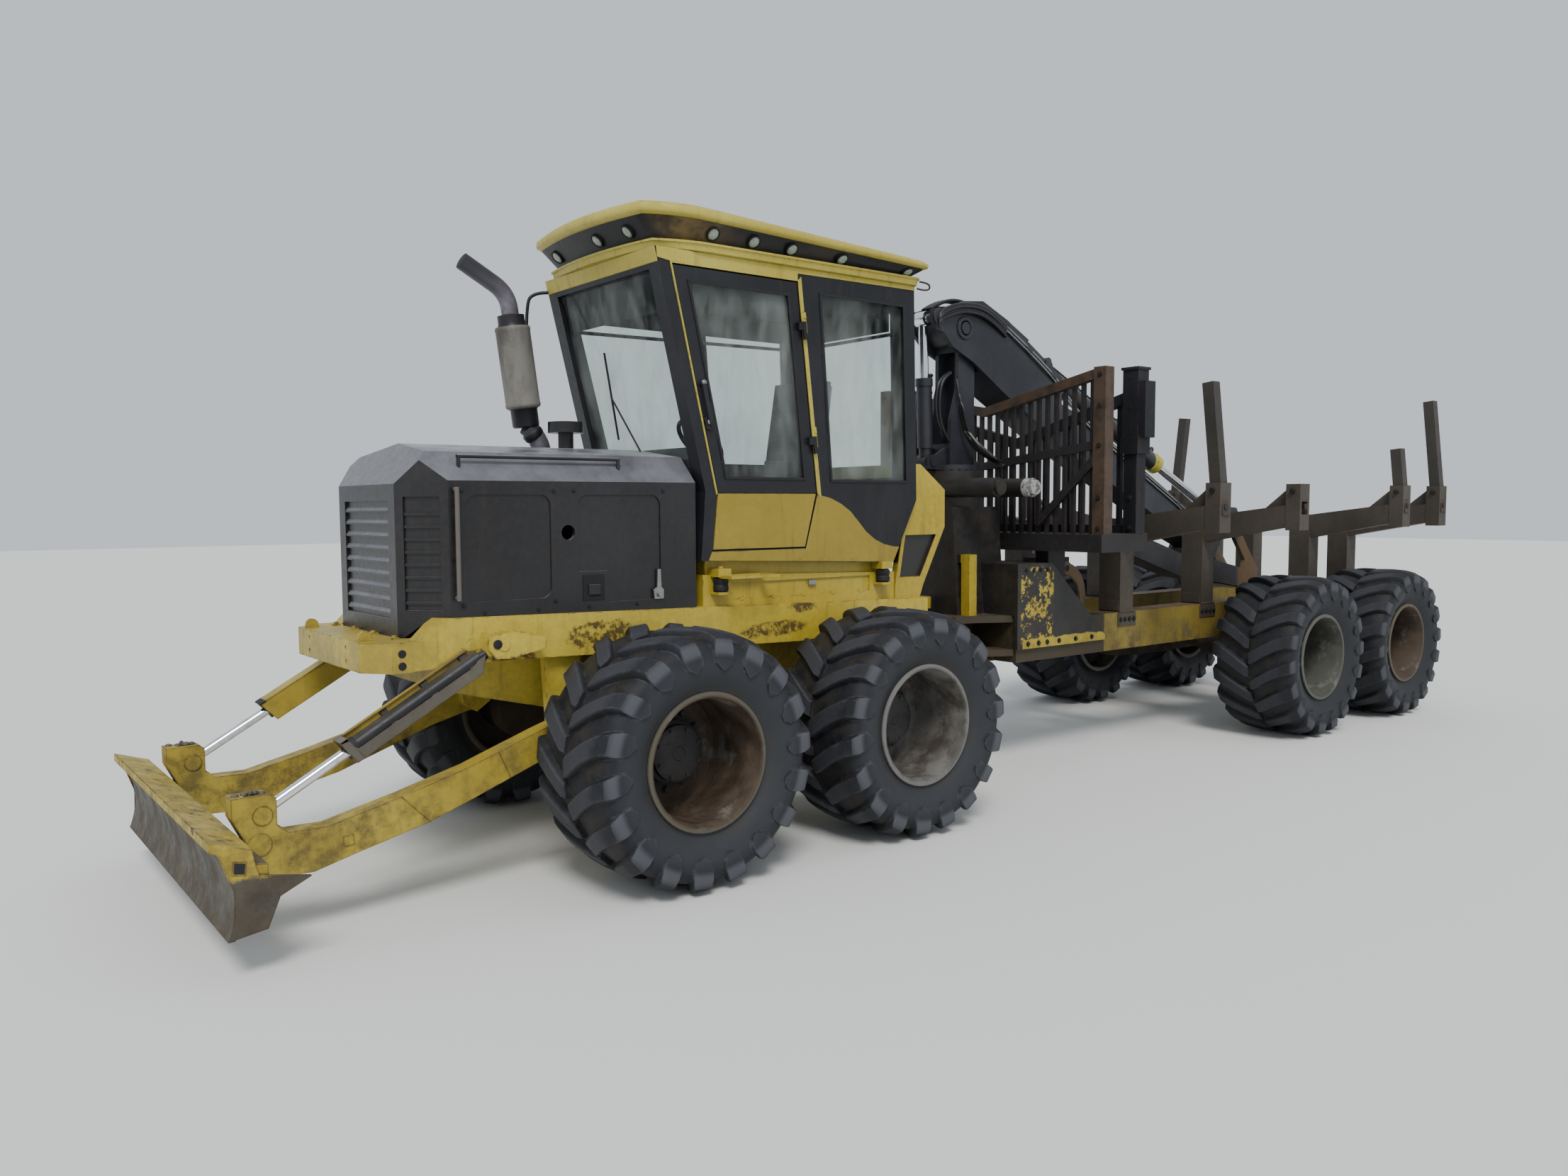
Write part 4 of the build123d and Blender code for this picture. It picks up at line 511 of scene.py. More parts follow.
def lamp_lens():
    s = Shader("lamp_lens")
    rings = s.tree.nodes.new("ShaderNodeTexNoise")
    rings.inputs["Scale"].default_value = 120
    s.link(s.place, rings.inputs["Vector"])
    shade = s.mix(s.band(rings.outputs["Fac"], 0.4, 0.62), (0.22, 0.26, 0.20), (0.36, 0.41, 0.33))
    s.bump(rings.outputs["Fac"], 0.3, 0.001)
    return s.finish(shade, 0.18)


CRANE_LOOK = {
    "colour": (0.014, 0.015, 0.020), "worn": (0.038, 0.041, 0.052), "dirt": (0.030, 0.027, 0.024), "chips": 0.35,
    "mud": 0.25, "gloss": 0.36, "dust_and_sheen": 0.6, "dust_and_sheen_tone": (0.10, 0.10, 0.115), "shine": 0.4,
}
RACK_LOOK = {
    "colour": BLACK, "worn": DULL_BLACK, "dirt": (0.040, 0.030, 0.022), "chips": 0.6, "mud": 0.2, "gloss": 0.5,
    "shine": 0.35,
}

yellow = painted("yellow_paint", YELLOW, FADED, SOIL, 0.35, 0.35, 0.38)
# A lighter copy of the yellow paint: painted sunlight on the front frame, which also carries real rubs and rust.
front_yellow_lit = painted("front_frame_lit_paint", (0.50, 0.370, 0.030), (0.58, 0.455, 0.060), SOIL, 0.55, 0.4, 0.40,
                       zones=frame_zones)
blade_paint = painted("blade_paint", YELLOW, FADED, SOIL, 0.9, 0.3, 0.5, zones=blade_zones)
arm_yellow = painted("blade_arm_paint", (0.36, 0.265, 0.020), (0.44, 0.34, 0.045), SOIL, 1.0, 0.4, 0.42)
roof_yellow = painted("roof_paint", (0.42, 0.34, 0.045), (0.50, 0.42, 0.080), (0.10, 0.070, 0.020), 0.25, 0.0, 0.42,
                      dust_and_sheen=0.2)
# The hood's pale blue-grey top tint at a 0.9 share is a painted sky reflection, not a dusting.
hood_black = painted("hood_paint", BLACK, DULL_BLACK, DULL_DIRT, 0.12, 0.5, 0.30, dust_and_sheen=0.9,
                     dust_and_sheen_tone=(0.30, 0.31, 0.35), shine=0.42, zones=hood_zones)
frame_black = painted("cab_paint", BLACK, DULL_BLACK, DULL_DIRT, 0.25, 0.2, 0.36, shine=0.35)
crane_black = painted("crane_paint", **CRANE_LOOK)
stick_paint = painted("stick_paint", **CRANE_LOOK, zones=stick_zones)
fold_paint = painted("fold_barrel_paint", (0.010, 0.011, 0.015), (0.026, 0.028, 0.036), CRANE_LOOK["dirt"], 0.3, 0.25,
                     0.36, shine=0.4, zones=fold_barrel_zones)
lamp_band_paint = painted("lamp_band_paint", BLACK, DULL_BLACK, DULL_DIRT, 0.1, 0.0, 0.4, shine=0.3,
                          zones=lamp_band_zones)
box_yellow = painted("rear_box_paint", YELLOW, FADED, SOIL, 0.3, 0.3, 0.38, zones=rear_box_zones)
rack_black = painted("rack_paint", **RACK_LOOK)
headboard_paint = painted("headboard_paint", **RACK_LOOK, zones=headboard_zones)
crane_base_paint = painted("crane_base_paint", YELLOW, FADED, (0.018, 0.015, 0.011), 0.5, 0.4, 0.45, dust_and_sheen=0.15,
                           zones=crane_base_zones)
rear_yellow = painted("rear_frame_paint", (0.185, 0.135, 0.014), (0.230, 0.172, 0.028), SOIL, 0.8, 0.7, 0.5,
                      zones=rear_frame_zones)
bunk_brown = painted("bunk_paint", (0.036, 0.029, 0.021), (0.066, 0.054, 0.042), (0.025, 0.020, 0.015), 0.9, 0.3, 0.6,
                     (0.085, 0.045, 0.026))
stake_brown = painted("stake_paint", (0.026, 0.022, 0.018), (0.046, 0.040, 0.033), (0.022, 0.018, 0.014), 0.8, 0.3, 0.6,
                      (0.070, 0.040, 0.024))
# A darker copy of the yellow paint: painted shade on the door panel and the cab's lower panels.
cab_yellow_shaded = painted("cab_panel_shaded_paint", (0.275, 0.196, 0.013), (0.335, 0.250, 0.028), SOIL, 0.35, 0.35, 0.36)
jaw_tan = painted("jaw_steel", (0.150, 0.100, 0.058), (0.205, 0.150, 0.090), (0.050, 0.034, 0.020), 0.7, 0.3, 0.6)
axle_dirt = painted("axle_dirt", (0.024, 0.020, 0.016), (0.045, 0.036, 0.026), (0.045, 0.034, 0.022), 0.4, 0.9, 0.65,
                    shine=0.3)
guard_steel = painted("guard_steel", (0.085, 0.075, 0.058), (0.130, 0.118, 0.092), (0.030, 0.024, 0.018), 0.9, 0.2, 0.5)
guard_worn = painted("guard_worn", (0.44, 0.32, 0.040), (0.09, 0.075, 0.045), (0.030, 0.024, 0.018), 1.6, 0.3, 0.5)
# The rear tyres' tones are dimmed to 0.7: painted shade.
tyre_skins = {"front": rubber_tyre("tyre_rubber", 0.0, 1.0), "rear": rubber_tyre("tyre_rubber_rear_shaded", 5.3, 0.7)}
brown_rim = rusty_rim("rim_brown", (0.034, 0.022, 0.013), (0.080, 0.056, 0.037), (0.090, 0.083, 0.058), 0.3)
grey_rim = rusty_rim("rim_grey", (0.050, 0.040, 0.030), (0.105, 0.100, 0.092), (0.155, 0.150, 0.145), 0.7)
green_rim = rusty_rim("rim_green_grey", (0.040, 0.041, 0.032), (0.075, 0.078, 0.064), (0.095, 0.099, 0.088), 0.4)
glass = dusty_glass()
chrome = bright_rod()
pipe_brown = burnt_steel()
silencer_tan = muffler_tan()
seat_cloth = woven_seat()
lens = lamp_lens()
seal = plain("rubber_seal", (0.009, 0.009, 0.011), 0.7)
hose_rubber = plain("hose_rubber", (0.010, 0.010, 0.013), 0.42)
fitting = plain("zinc_fitting", (0.36, 0.36, 0.35), 0.35, 0.85)
dark_steel = plain("dark_steel", (0.040, 0.038, 0.036), 0.5, 0.6)
plastic = plain("dash_plastic", (0.018, 0.019, 0.022), 0.55)


# Geometry

class Form:
    """Points and faces gathered for one piece, in the row frame in metres."""

    def __init__(self):
        self.points = []
        self.faces = []
        self.tints = []
        self.tint = 0

    def add(self, points, faces):
        base = len(self.points)
        self.points += [tuple(point) for point in points]
        self.faces += [tuple(base + index for index in face) for face in faces]
        self.tints += [self.tint] * len(faces)

    def prism(self, low_ring, high_ring):
        count = len(low_ring)
        sides = [(i, (i + 1) % count, (i + 1) % count + count, i + count) for i in range(count)]
        self.add([*low_ring, *high_ring], [tuple(range(count))[::-1], tuple(range(count, 2 * count)), *sides])

    def side_plate(self, outline, y_low, y_high):
        """outline is (station, height) corners in millimetres."""
        self.prism([at(x, y_low, z) for x, z in outline], [at(x, y_high, z) for x, z in outline])

    def block(self, stations, ys, zs):
        self.side_plate([(stations[0], zs[0]), (stations[1], zs[0]), (stations[1], zs[1]), (stations[0], zs[1])], *ys)

    def round_bar(self, start, end, radius, sides=16, end_radius=None):
        start, end = Vector(start), Vector(end)
        axis = (end - start).normalized()
        across = axis.orthogonal().normalized()
        other = axis.cross(across)
        turns = [2 * math.pi * i / sides for i in range(sides)]
        spokes = [across * math.cos(a) + other * math.sin(a) for a in turns]
        far = radius if end_radius is None else end_radius
        self.prism([start + spoke * radius for spoke in spokes], [end + spoke * far for spoke in spokes])

    def hex_bolt(self, place, axis, radius=0.012, height=0.009):
        place, axis = Vector(place), Vector(axis).normalized()
        self.round_bar(place, place + axis * 0.003, radius * 1.45, 14)
        self.round_bar(place + axis * 0.003, place + axis * (0.003 + height), radius, 6)

    def turned(self, profile, place, axis, sides=48):
        """profile is (radius, distance along axis) from one end to the other, in metres."""
        axis = Vector(axis).normalized()
        across = axis.orthogonal().normalized()
        other = axis.cross(across)
        rings = []
        for radius, reach in profile:
            for i in range(sides):
                a = 2 * math.pi * i / sides
                rings.append(Vector(place) + axis * reach + (across * math.cos(a) + other * math.sin(a)) * radius)
        faces = []
        for row in range(len(profile) - 1):
            for i in range(sides):
                j = (i + 1) % sides
                faces.append((row * sides + i, row * sides + j, (row + 1) * sides + j, (row + 1) * sides + i))
        faces.append(tuple(range(sides))[::-1])
        last = (len(profile) - 1) * sides
        faces.append(tuple(range(last, last + sides)))
        self.add(rings, faces)

    def piece(self, name, materials, body, bevel=0.0, smooth=32, replaces=(), slot=None, mirror=False):
        if mirror:
            base = len(self.points)
            self.points += [(x, -y, z) for x, y, z in self.points]
            self.faces += [tuple(base + index for index in face)[::-1] for face in self.faces]
            self.tints += self.tints
        mesh = new_mesh(name, self.points, self.faces, materials)
        mesh.polygons.foreach_set("material_index", self.tints)
        return place_mesh(name, mesh, body, bevel, smooth, replaces)


def new_mesh(name, points, faces, materials):
    """A mesh with its faces turned outwards; materials is one or a list."""
    mesh = bpy.data.meshes.new(name)
    mesh.from_pydata(points, [], faces)
    edit = bmesh.new()
    edit.from_mesh(mesh)
    bmesh.ops.recalc_face_normals(edit, faces=edit.faces)
    edit.to_mesh(mesh)
    edit.free()
    for material in materials if isinstance(materials, (list, tuple)) else [materials]:
        mesh.materials.append(material)
    return mesh


def span(side, a, b):
    """The y range from a to b on one side of the machine, low end first."""
    return tuple(sorted((side * a, side * b)))


def place_mesh(name, mesh, body, bevel=0.0, smooth=32, replaces=(), place=None):
    mesh.polygons.foreach_set("use_smooth", [True] * len(mesh.polygons))
    mesh.set_sharp_from_angle(angle=math.radians(smooth))
    piece = bpy.data.objects.new(name, mesh)
    bpy.context.scene.collection.objects.link(piece)
    if place is not None:
        piece.matrix_world = place
    if bevel:
        round_edges(piece, bevel)
    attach(piece, body)
    if replaces:
        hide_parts(*replaces)
    return piece


def round_edges(piece, width, merge=False, segments=2):
    """Rounds a piece's edges; a CAD node's flat triangles are merged first."""
    if merge:
        flat = piece.modifiers.new("flat", "DECIMATE")
        flat.decimate_type = "DISSOLVE"
        flat.angle_limit = math.radians(1.0)
    soft = piece.modifiers.new("soft_edges", "BEVEL")
    soft.width = width
    soft.segments = segments
    soft.limit_method = "ANGLE"
    soft.angle_limit = math.radians(34)
    soft.harden_normals = True
    soft.use_clamp_overlap = True


def dress(node, material, bevel=0.004):
    """Gives a CAD node its material and soft edges."""
    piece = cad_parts[node]
    if not piece.data.materials:
        piece.data.materials.append(material)
    for slot in piece.material_slots:
        slot.material = material
    if bevel:
        round_edges(piece, bevel, merge=True)
    return piece


def hoses(name, routes, radius, body, material=None):
    """Each route is a hose's control points; every hose is fixed at both ends to the same body."""
    curve = bpy.data.curves.new(name, "CURVE")
    curve.dimensions = "3D"
    curve.bevel_depth = radius
    curve.bevel_resolution = 3
    curve.resolution_u = 8
    curve.use_fill_caps = True
    for route in routes:
        spline = curve.splines.new("NURBS")
        spline.points.add(len(route) - 1)
        for point, place in zip(spline.points, route):
            point.co = (*at(*place), 1)
        spline.order_u = 3
        spline.use_endpoint_u = True
    piece = bpy.data.objects.new(name, curve)
    piece.data.materials.append(material or hose_rubber)
    bpy.context.scene.collection.objects.link(piece)
    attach(piece, body)
    return piece


# Wheels

TYRE_RADIUS = 0.675
LUGS = 18
# Where a lug's middle line runs: (out from the tyre's middle, ahead of the spoke it stands on).
LUG_LINE = ((0.0, 0.104), (0.150, 0.010), (0.290, -0.062), (0.360, -0.072))


def tyre_section():
    """Half of the carcass outline as (y from the middle, radius), from the crown to the bead."""
    return [
        (0.000, 0.634), (0.080, 0.634), (0.160, 0.632), (0.230, 0.627), (0.280, 0.617), (0.315, 0.598),
        (0.334, 0.570), (0.340, 0.535), (0.339, 0.500), (0.331, 0.465), (0.318, 0.432), (0.300, 0.403),
        (0.288, 0.384), (0.284, 0.372), (0.284, 0.3465),
    ]


def section_at(reach):
    """Point and outward normal of the carcass at a distance from the crown along its section."""
    points = tyre_section()
    for (y0, r0), (y1, r1) in zip(points, points[1:]):
        run = math.hypot(y1 - y0, r1 - r0)
        if reach <= run:
            share = reach / run
            y, r = y0 + (y1 - y0) * share, r0 + (r1 - r0) * share
            return y, r, (-(r1 - r0) / run, (y1 - y0) / run)
        reach -= run
    return points[-1][0], points[-1][1], (1.0, 0.0)


def smooth_section(reach):
    """The same, with the normal averaged over a stretch so that lugs turn the shoulder smoothly."""
    y, r, _ = section_at(reach)
    nearby = [section_at(max(0.0, reach + step))[2] for step in (-0.03, -0.015, 0.0, 0.015, 0.03)]
    ny = sum(n[0] for n in nearby) / len(nearby)
    nr = sum(n[1] for n in nearby) / len(nearby)
    length = math.hypot(ny, nr)
    return y, r, (ny / length, nr / length)


def tyre_mesh(side):
    """One tyre about the origin with its axle along Y; side is 1 for the machine's left."""
    points, faces = [], []
    half = tyre_section()
    ring = [(-y, r) for y, r in reversed(half[1:])] + half
    sides = 96
    for y, r in ring:
        for i in range(sides):
            a = 2 * math.pi * i / sides
            points.append((r * math.cos(a), y, r * math.sin(a)))
    for row in range(len(ring)):
        below = (row + 1) % len(ring)
        for i in range(sides):
            j = (i + 1) % sides
            faces.append((row * sides + i, row * sides + j, below * sides + j, below * sides + i))

    def surface(angle, reach, lift, way):
        y, r, (ny, nr) = smooth_section(reach)
        y += ny * lift
        r += nr * lift
        r = min(r, TYRE_RADIUS - 0.0006)
        y = min(y, 0.3495)
        return (r * math.cos(angle), way * y, r * math.sin(angle))

    def lug_ahead(out):
        for (y0, x0), (y1, x1) in zip(LUG_LINE, LUG_LINE[1:]):
            if out <= y1:
                share = (out - y0) / (y1 - y0)
                return x0 + (x1 - x0) * share
        return LUG_LINE[-1][1]

    steps = 15
    length = 0.448
    for way in (1, -1):
        for lug in range(LUGS):
            spoke = math.pi / 2 + 2 * math.pi * (lug + (0.5 if way < 0 else 0.0)) / LUGS
            wear = 0.004 * math.sin(lug * 2.7 + way)
            rows = []
            for step in range(steps):
                share = step / (steps - 1)
                reach = length * share
                out, radius, _ = smooth_section(reach)
                nearby = [lug_ahead(max(0.0, out + d)) for d in (-0.04, -0.02, 0.0, 0.02, 0.04)]
                ahead = sum(nearby) / len(nearby)
                radius = max(radius, 0.4)
                angle = spoke - math.asin(ahead / radius)
                flare = max(0.0, min(1.0, (share - 0.45) / 0.35))
                rounded = math.sqrt(max(0.04, 1 - max(0.0, (share - 0.86) / 0.14) ** 2))
                width = (0.037 + 0.011 * flare + wear) * rounded * (0.86 if step == 0 else 1.0)
                fall = max(0.0, (reach - 0.33) / (length - 0.33))
                lift = 0.0415 - 0.024 * fall * fall
                lift *= 1.0 if step else 0.72
                if share > 0.9:
                    lift *= 0.8
                across = width * (1.22 - 0.22 * flare) / radius
                ring_points = [
                    (angle - across * 1.30, -0.004), (angle - across * 1.08, lift * 0.80),
                    (angle - across * 0.90, lift),
                    (angle + across * 0.90, lift), (angle + across * 1.08, lift * 0.80),
                    (angle + across * 1.30, -0.004),
                ]
                rows.append([surface(a, reach, high, way) for a, high in ring_points])
            base = len(points)
            wide = len(rows[0])
            for row in rows:
                points.extend(row)
            for row in range(steps - 1):
                for i in range(wide - 1):
                    a = base + row * wide + i
                    faces.append((a, a + 1, a + wide + 1, a + wide))
                a = base + row * wide
                faces.append((a + wide, a + wide + wide - 1, a + wide - 1, a))
            faces.append(tuple(base + i for i in range(wide)))
            faces.append(tuple(base + (steps - 1) * wide + i for i in range(wide))[::-1])
    if side < 0:
        points = [(x, -y, z) for x, y, z in points]
    return new_mesh("tyre_left" if side > 0 else "tyre_right", points, faces, tyre_skins["front"])


def rim_mesh(side):
    """A deep rim: two flanges, drop barrel, disc with nuts and the hub's drum."""
    form = Form()
    y0 = 1.125
    profile = [
        (0.170, 0.792), (0.170, 0.984), (0.318, 0.985), (0.318, 0.830), (0.326, 0.806), (0.3445, 0.801),
        (0.358, 0.803), (0.3605, 0.812), (0.357, 0.819), (0.345, 0.8215), (0.345, 1.4085), (0.357, 1.411),
        (0.3605, 1.418), (0.358, 1.427), (0.3445, 1.4295), (0.334, 1.4285), (0.328, 1.420), (0.326, 1.395),
        (0.319, 1.385), (0.3195, 1.150), (0.322, 1.120), (0.322, 1.040), (0.312, 1.012), (0.285, 1.010),
        (0.262, 1.014), (0.240, 1.010), (0.172, 1.010), (0.172, 1.100), (0.160, 1.108), (0.150, 1.110),
        (0.148, 1.140), (0.120, 1.1495), (0.040, 1.1495), (0.034, 1.144), (0.004, 1.144),
    ]
    form.turned([(r, y - y0) for r, y in profile], (0, 0, 0), (0, 1, 0), 64)
    for i in range(12):
        a = 2 * math.pi * i / 12
        spot = (0.212 * math.cos(a), 1.010 - y0, 0.212 * math.sin(a))
        form.hex_bolt(spot, (0, 1, 0), 0.017, 0.02)
    for i in range(8):
        a = 2 * math.pi * (i + 0.5) / 8
        spot = (0.128 * math.cos(a), 1.1475 - y0, 0.128 * math.sin(a))
        form.hex_bolt(spot, (0, 1, 0), 0.009, 0.006)
    if side < 0:
        form.points = [(x, -y, z) for x, y, z in form.points]
    return new_mesh("rim_left" if side > 0 else "rim_right", form.points, form.faces, brown_rim)


def add_wheels():
    tyres = {side: tyre_mesh(side) for side in (1, -1)}
    rims = {side: rim_mesh(side) for side in (1, -1)}
    rim_tones = {"front_trail_left": grey_rim, "rear_lead_left": green_rim, "rear_trail_left": brown_rim,
                 "front_trail_right": green_rim, "rear_lead_right": grey_rim}
    for bogie in ("front", "rear"):
        for end in ("lead", "trail"):
            for label, side in (("left", 1), ("right", -1)):
                wheel = f"{bogie}_{end}_{label}"
                low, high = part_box("tyre_" + wheel)
                middle = (Vector(low) + Vector(high)) / 2
                turn = math.pi * draws.randrange(2)
                place = Matrix.Translation(middle) @ Matrix.Rotation(turn, 4, "Y")
                tyre = tyres[side].copy()
                tyre.materials[0] = tyre_skins[bogie]
                rim = rims[side].copy()
                rim.materials[0] = rim_tones.get(wheel, brown_rim)
                body = "wheel_" + wheel
                place_mesh("lugged_tyre_" + wheel, tyre, body, 0, 40, ("tyre_" + wheel,), place)
                place_mesh("deep_rim_" + wheel, rim, body, 0, 36, ("rim_" + wheel,), place)


# Roof, exhaust and cab

def roof_ring(plan, height_at, steps=10):
    """Outline points of a roof layer in plan, with a bowed front edge and rounded corners."""
    rear, front, half, front_half, bow = plan
    corners = []
    corner = 60
    for i in range(5):
        a = math.pi / 2 * i / 4
        corners.append((rear + corner - corner * math.cos(a), half - corner + corner * math.sin(a)))
    for i in range(9):
        share = i / 8
        shoulder = share * share
        corners.append((front - 330 + 330 * share - 20 * share * (1 - share), half - (half - front_half) * shoulder))
    for i in range(1, steps + 1):
        y = front_half * (1 - i / steps)
        corners.append((front + bow * (1 - (y / front_half) ** 2), y))
    ring = corners + [(x, -y) for x, y in reversed(corners[:-1])]
    return [at(x, y, height_at(x)) for x, y in ring]


def roof_line(rear_height, front_height):
    return lambda x: rear_height + (front_height - rear_height) * (x + 1500) / 2150


def add_layers(form, rings):
    count = len(rings[0])
    points = [point for ring in rings for point in ring]
    faces = []
    for row in range(len(rings) - 1):
        for i in range(count):
            j = (i + 1) % count
            faces.append((row * count + i, row * count + j, (row + 1) * count + j, (row + 1) * count + i))
    faces.append(tuple(range(count))[::-1])
    faces.append(tuple(range((len(rings) - 1) * count, len(rings) * count)))
    form.add(points, faces)


def add_roof():
    under = roof_line(3500, 3575)
    over = roof_line(3555, 3655)

    def inset(plan, step):
        rear, front, half, front_half, bow = plan
        return (rear + step, front - step, half - step, front_half - step, bow)

    cap = (-1500, 650, 750, 620, 70)
    form = Form()
    add_layers(form, [
        roof_ring(inset(cap, 26), under), roof_ring(inset(cap, 4), lambda x: under(x) + 10),
        roof_ring(cap, lambda x: under(x) + 24), roof_ring(inset(cap, 2), lambda x: over(x) - 26),
        roof_ring(inset(cap, 22), lambda x: over(x) - 7), roof_ring(inset(cap, 70), over),
    ])
    drip = (-1475, 560, 690, 600, 60)
    add_layers(form, [
        roof_ring(inset(drip, 40), lambda x: 3400), roof_ring(inset(drip, 14), lambda x: 3404),
        roof_ring(inset(drip, 8), lambda x: 3436), roof_ring(drip, lambda x: 3440), roof_ring(drip, lambda x: 3452),
        roof_ring(inset(drip, 12), lambda x: 3455),
    ])
    form.piece("roof_cap_and_drip", roof_yellow, "front", 0, 50, ("cab_roof",), "yellow_paint")
    band = Form()
    foot = (-1420, 520, 640, 560, 45)
    top = (-1470, 625, 725, 600, 60)
    add_layers(band, [
        roof_ring(foot, lambda x: 3455), roof_ring(foot, lambda x: 3459),
        roof_ring(inset(top, 3), lambda x: under(x) - 4), roof_ring(top, under),
    ])
    lamps = Form()
    glassy = Form()

    def lamp(low, high, radius):
        low, high = Vector(low), Vector(high)
        slope = high - low
        middle = (low + high) / 2
        level = Vector((slope.x, slope.y, 0)).normalized()
        outward = (level * slope.z - Vector((0, 0, 1)) * slope.dot(level)).normalized()
        radius = min(radius, slope.length / 2 - 0.004)
        base = middle - outward * 0.01
        lamps.turned([(radius * 0.9, 0.0), (radius, 0.006), (radius, 0.020), (radius * 0.94, 0.024),
                      (radius * 0.86, 0.024),
                      (radius * 0.84, 0.016), (0.004, 0.016)], base, outward, 28)
        glassy.turned([(radius * 0.84, 0.0155), (radius * 0.80, 0.0205), (radius * 0.5, 0.0245), (0.003, 0.026)],
                      base, outward, 28)

    for station in (205, -85, -370, -770, -1336):
        for side in (-1, 1):
            lamp(at(station, side * 640, 3455), at(station, side * 725, under(station)), 0.042)
    for y in (413, 112, -430):
        share = (y / 600) ** 2
        front = 625 + 60 * (1 - share)
        lamp(at(520 + 45 * (1 - share), y, 3455), at(front, y, under(front)), 0.044)
    band.piece("lamp_band", lamp_band_paint, "front", 0, 50, ("roof_lights",), "lamp_band")
    lamps.piece("lamp_bodies", seal, "front", 0, 30, slot="lamp_band")
    glassy.piece("lamp_lenses", lens, "front", 0, 60, slot="lamp_band")


def swept_tube(form, path, radius_at, sides=28):
    """A tube along points; radius_at gives the radius at each point."""
    rings = []
    side = None
    for i, place in enumerate(path):
        before = path[max(0, i - 1)]
        after = path[min(len(path) - 1, i + 1)]
        axis = (after - before).normalized()
        side = axis.orthogonal().normalized() if side is None else (side - axis * side.dot(axis)).normalized()
        other = axis.cross(side)
        radius = radius_at(i)
        rings.append([place + (side * math.cos(a) + other * math.sin(a)) * radius
                      for a in (2 * math.pi * k / sides for k in range(sides))])
    add_layers(form, rings)


def add_exhaust():
    y = -300
    foot = at(800, y, 2050)
    lower = at(895, y, 2450)
    low = at(915, y, 2560)
    high = at(978, y, 3036)
    bend = at(1006, y, 3230)
    tip = at(1285, y, 3385)
    form = Form()
    knee = at(800, y, 2340)
    path = [foot, foot.lerp(knee, 0.8)]
    for i in range(9):
        t = i / 8
        path.append((1 - t) ** 2 * foot.lerp(knee, 0.82) + 2 * t * (1 - t) * at(806, y, 2375) + t * t * lower)
    swept_tube(form, path, lambda i: 0.057)
    form.tint = 2
    form.turned([(0.060, -0.02), (0.064, -0.012), (0.064, 0.012), (0.060, 0.02)],
                lower - (lower - knee).normalized() * 0.06, lower - knee, 28)
    form.tint = 0
    axis = (high - low).normalized()
    length = (high - low).length
    form.tint = 1
    form.turned([(0.075, -0.008), (0.098, 0.0), (0.104, 0.010), (0.1045, 0.022), (0.102, 0.030),
                 (0.102, length - 0.030),
                 (0.1045, length - 0.022), (0.104, length - 0.010), (0.098, length), (0.06, length + 0.006)], low,
                 axis, 40)
    form.tint = 2
    form.turned([(0.066, -0.118), (0.078, -0.112), (0.080, -0.10), (0.080, -0.012), (0.086, -0.004), (0.086, 0.012)],
                low, axis, 36)
    form.turned([(0.090, length - 0.01), (0.084, length + 0.004), (0.079, length + 0.02), (0.079, length + 0.066),
                 (0.055, length + 0.072)], low, axis, 36)
    form.tint = 0
    pipe = [high + axis * 0.02]
    start = high.lerp(bend, 0.55)
    finish = bend.lerp(tip, 0.30)
    for i in range(11):
        t = i / 10
        pipe.append((1 - t) ** 2 * start + 2 * t * (1 - t) * bend + t * t * finish)
    pipe.append(tip)
    swept_tube(form, pipe, lambda i: 0.051)
    form.tint = 3
    direction = (tip - bend).normalized()
    form.turned([(0.046, 0.0), (0.046, 0.001)], tip + direction * 0.0006, direction, 28)
    form.piece("exhaust_stack", [pipe_brown, silencer_tan, frame_black, seal], "front", 0, 40, ("exhaust",),
               "exhaust_steel")


CAB_CURVE = [(-594, 2034), (-700, 2012), (-790, 1975), (-869, 1926), (-930, 1868), (-1000, 1798), (-1080, 1745),
             (-1160, 1712),
             (-1249, 1694), (-1297, 1692)]


def front_face(z):
    """Station of the cab's leaning front face at a height."""
    return 250 + 317 * (z - 2050) / 1320


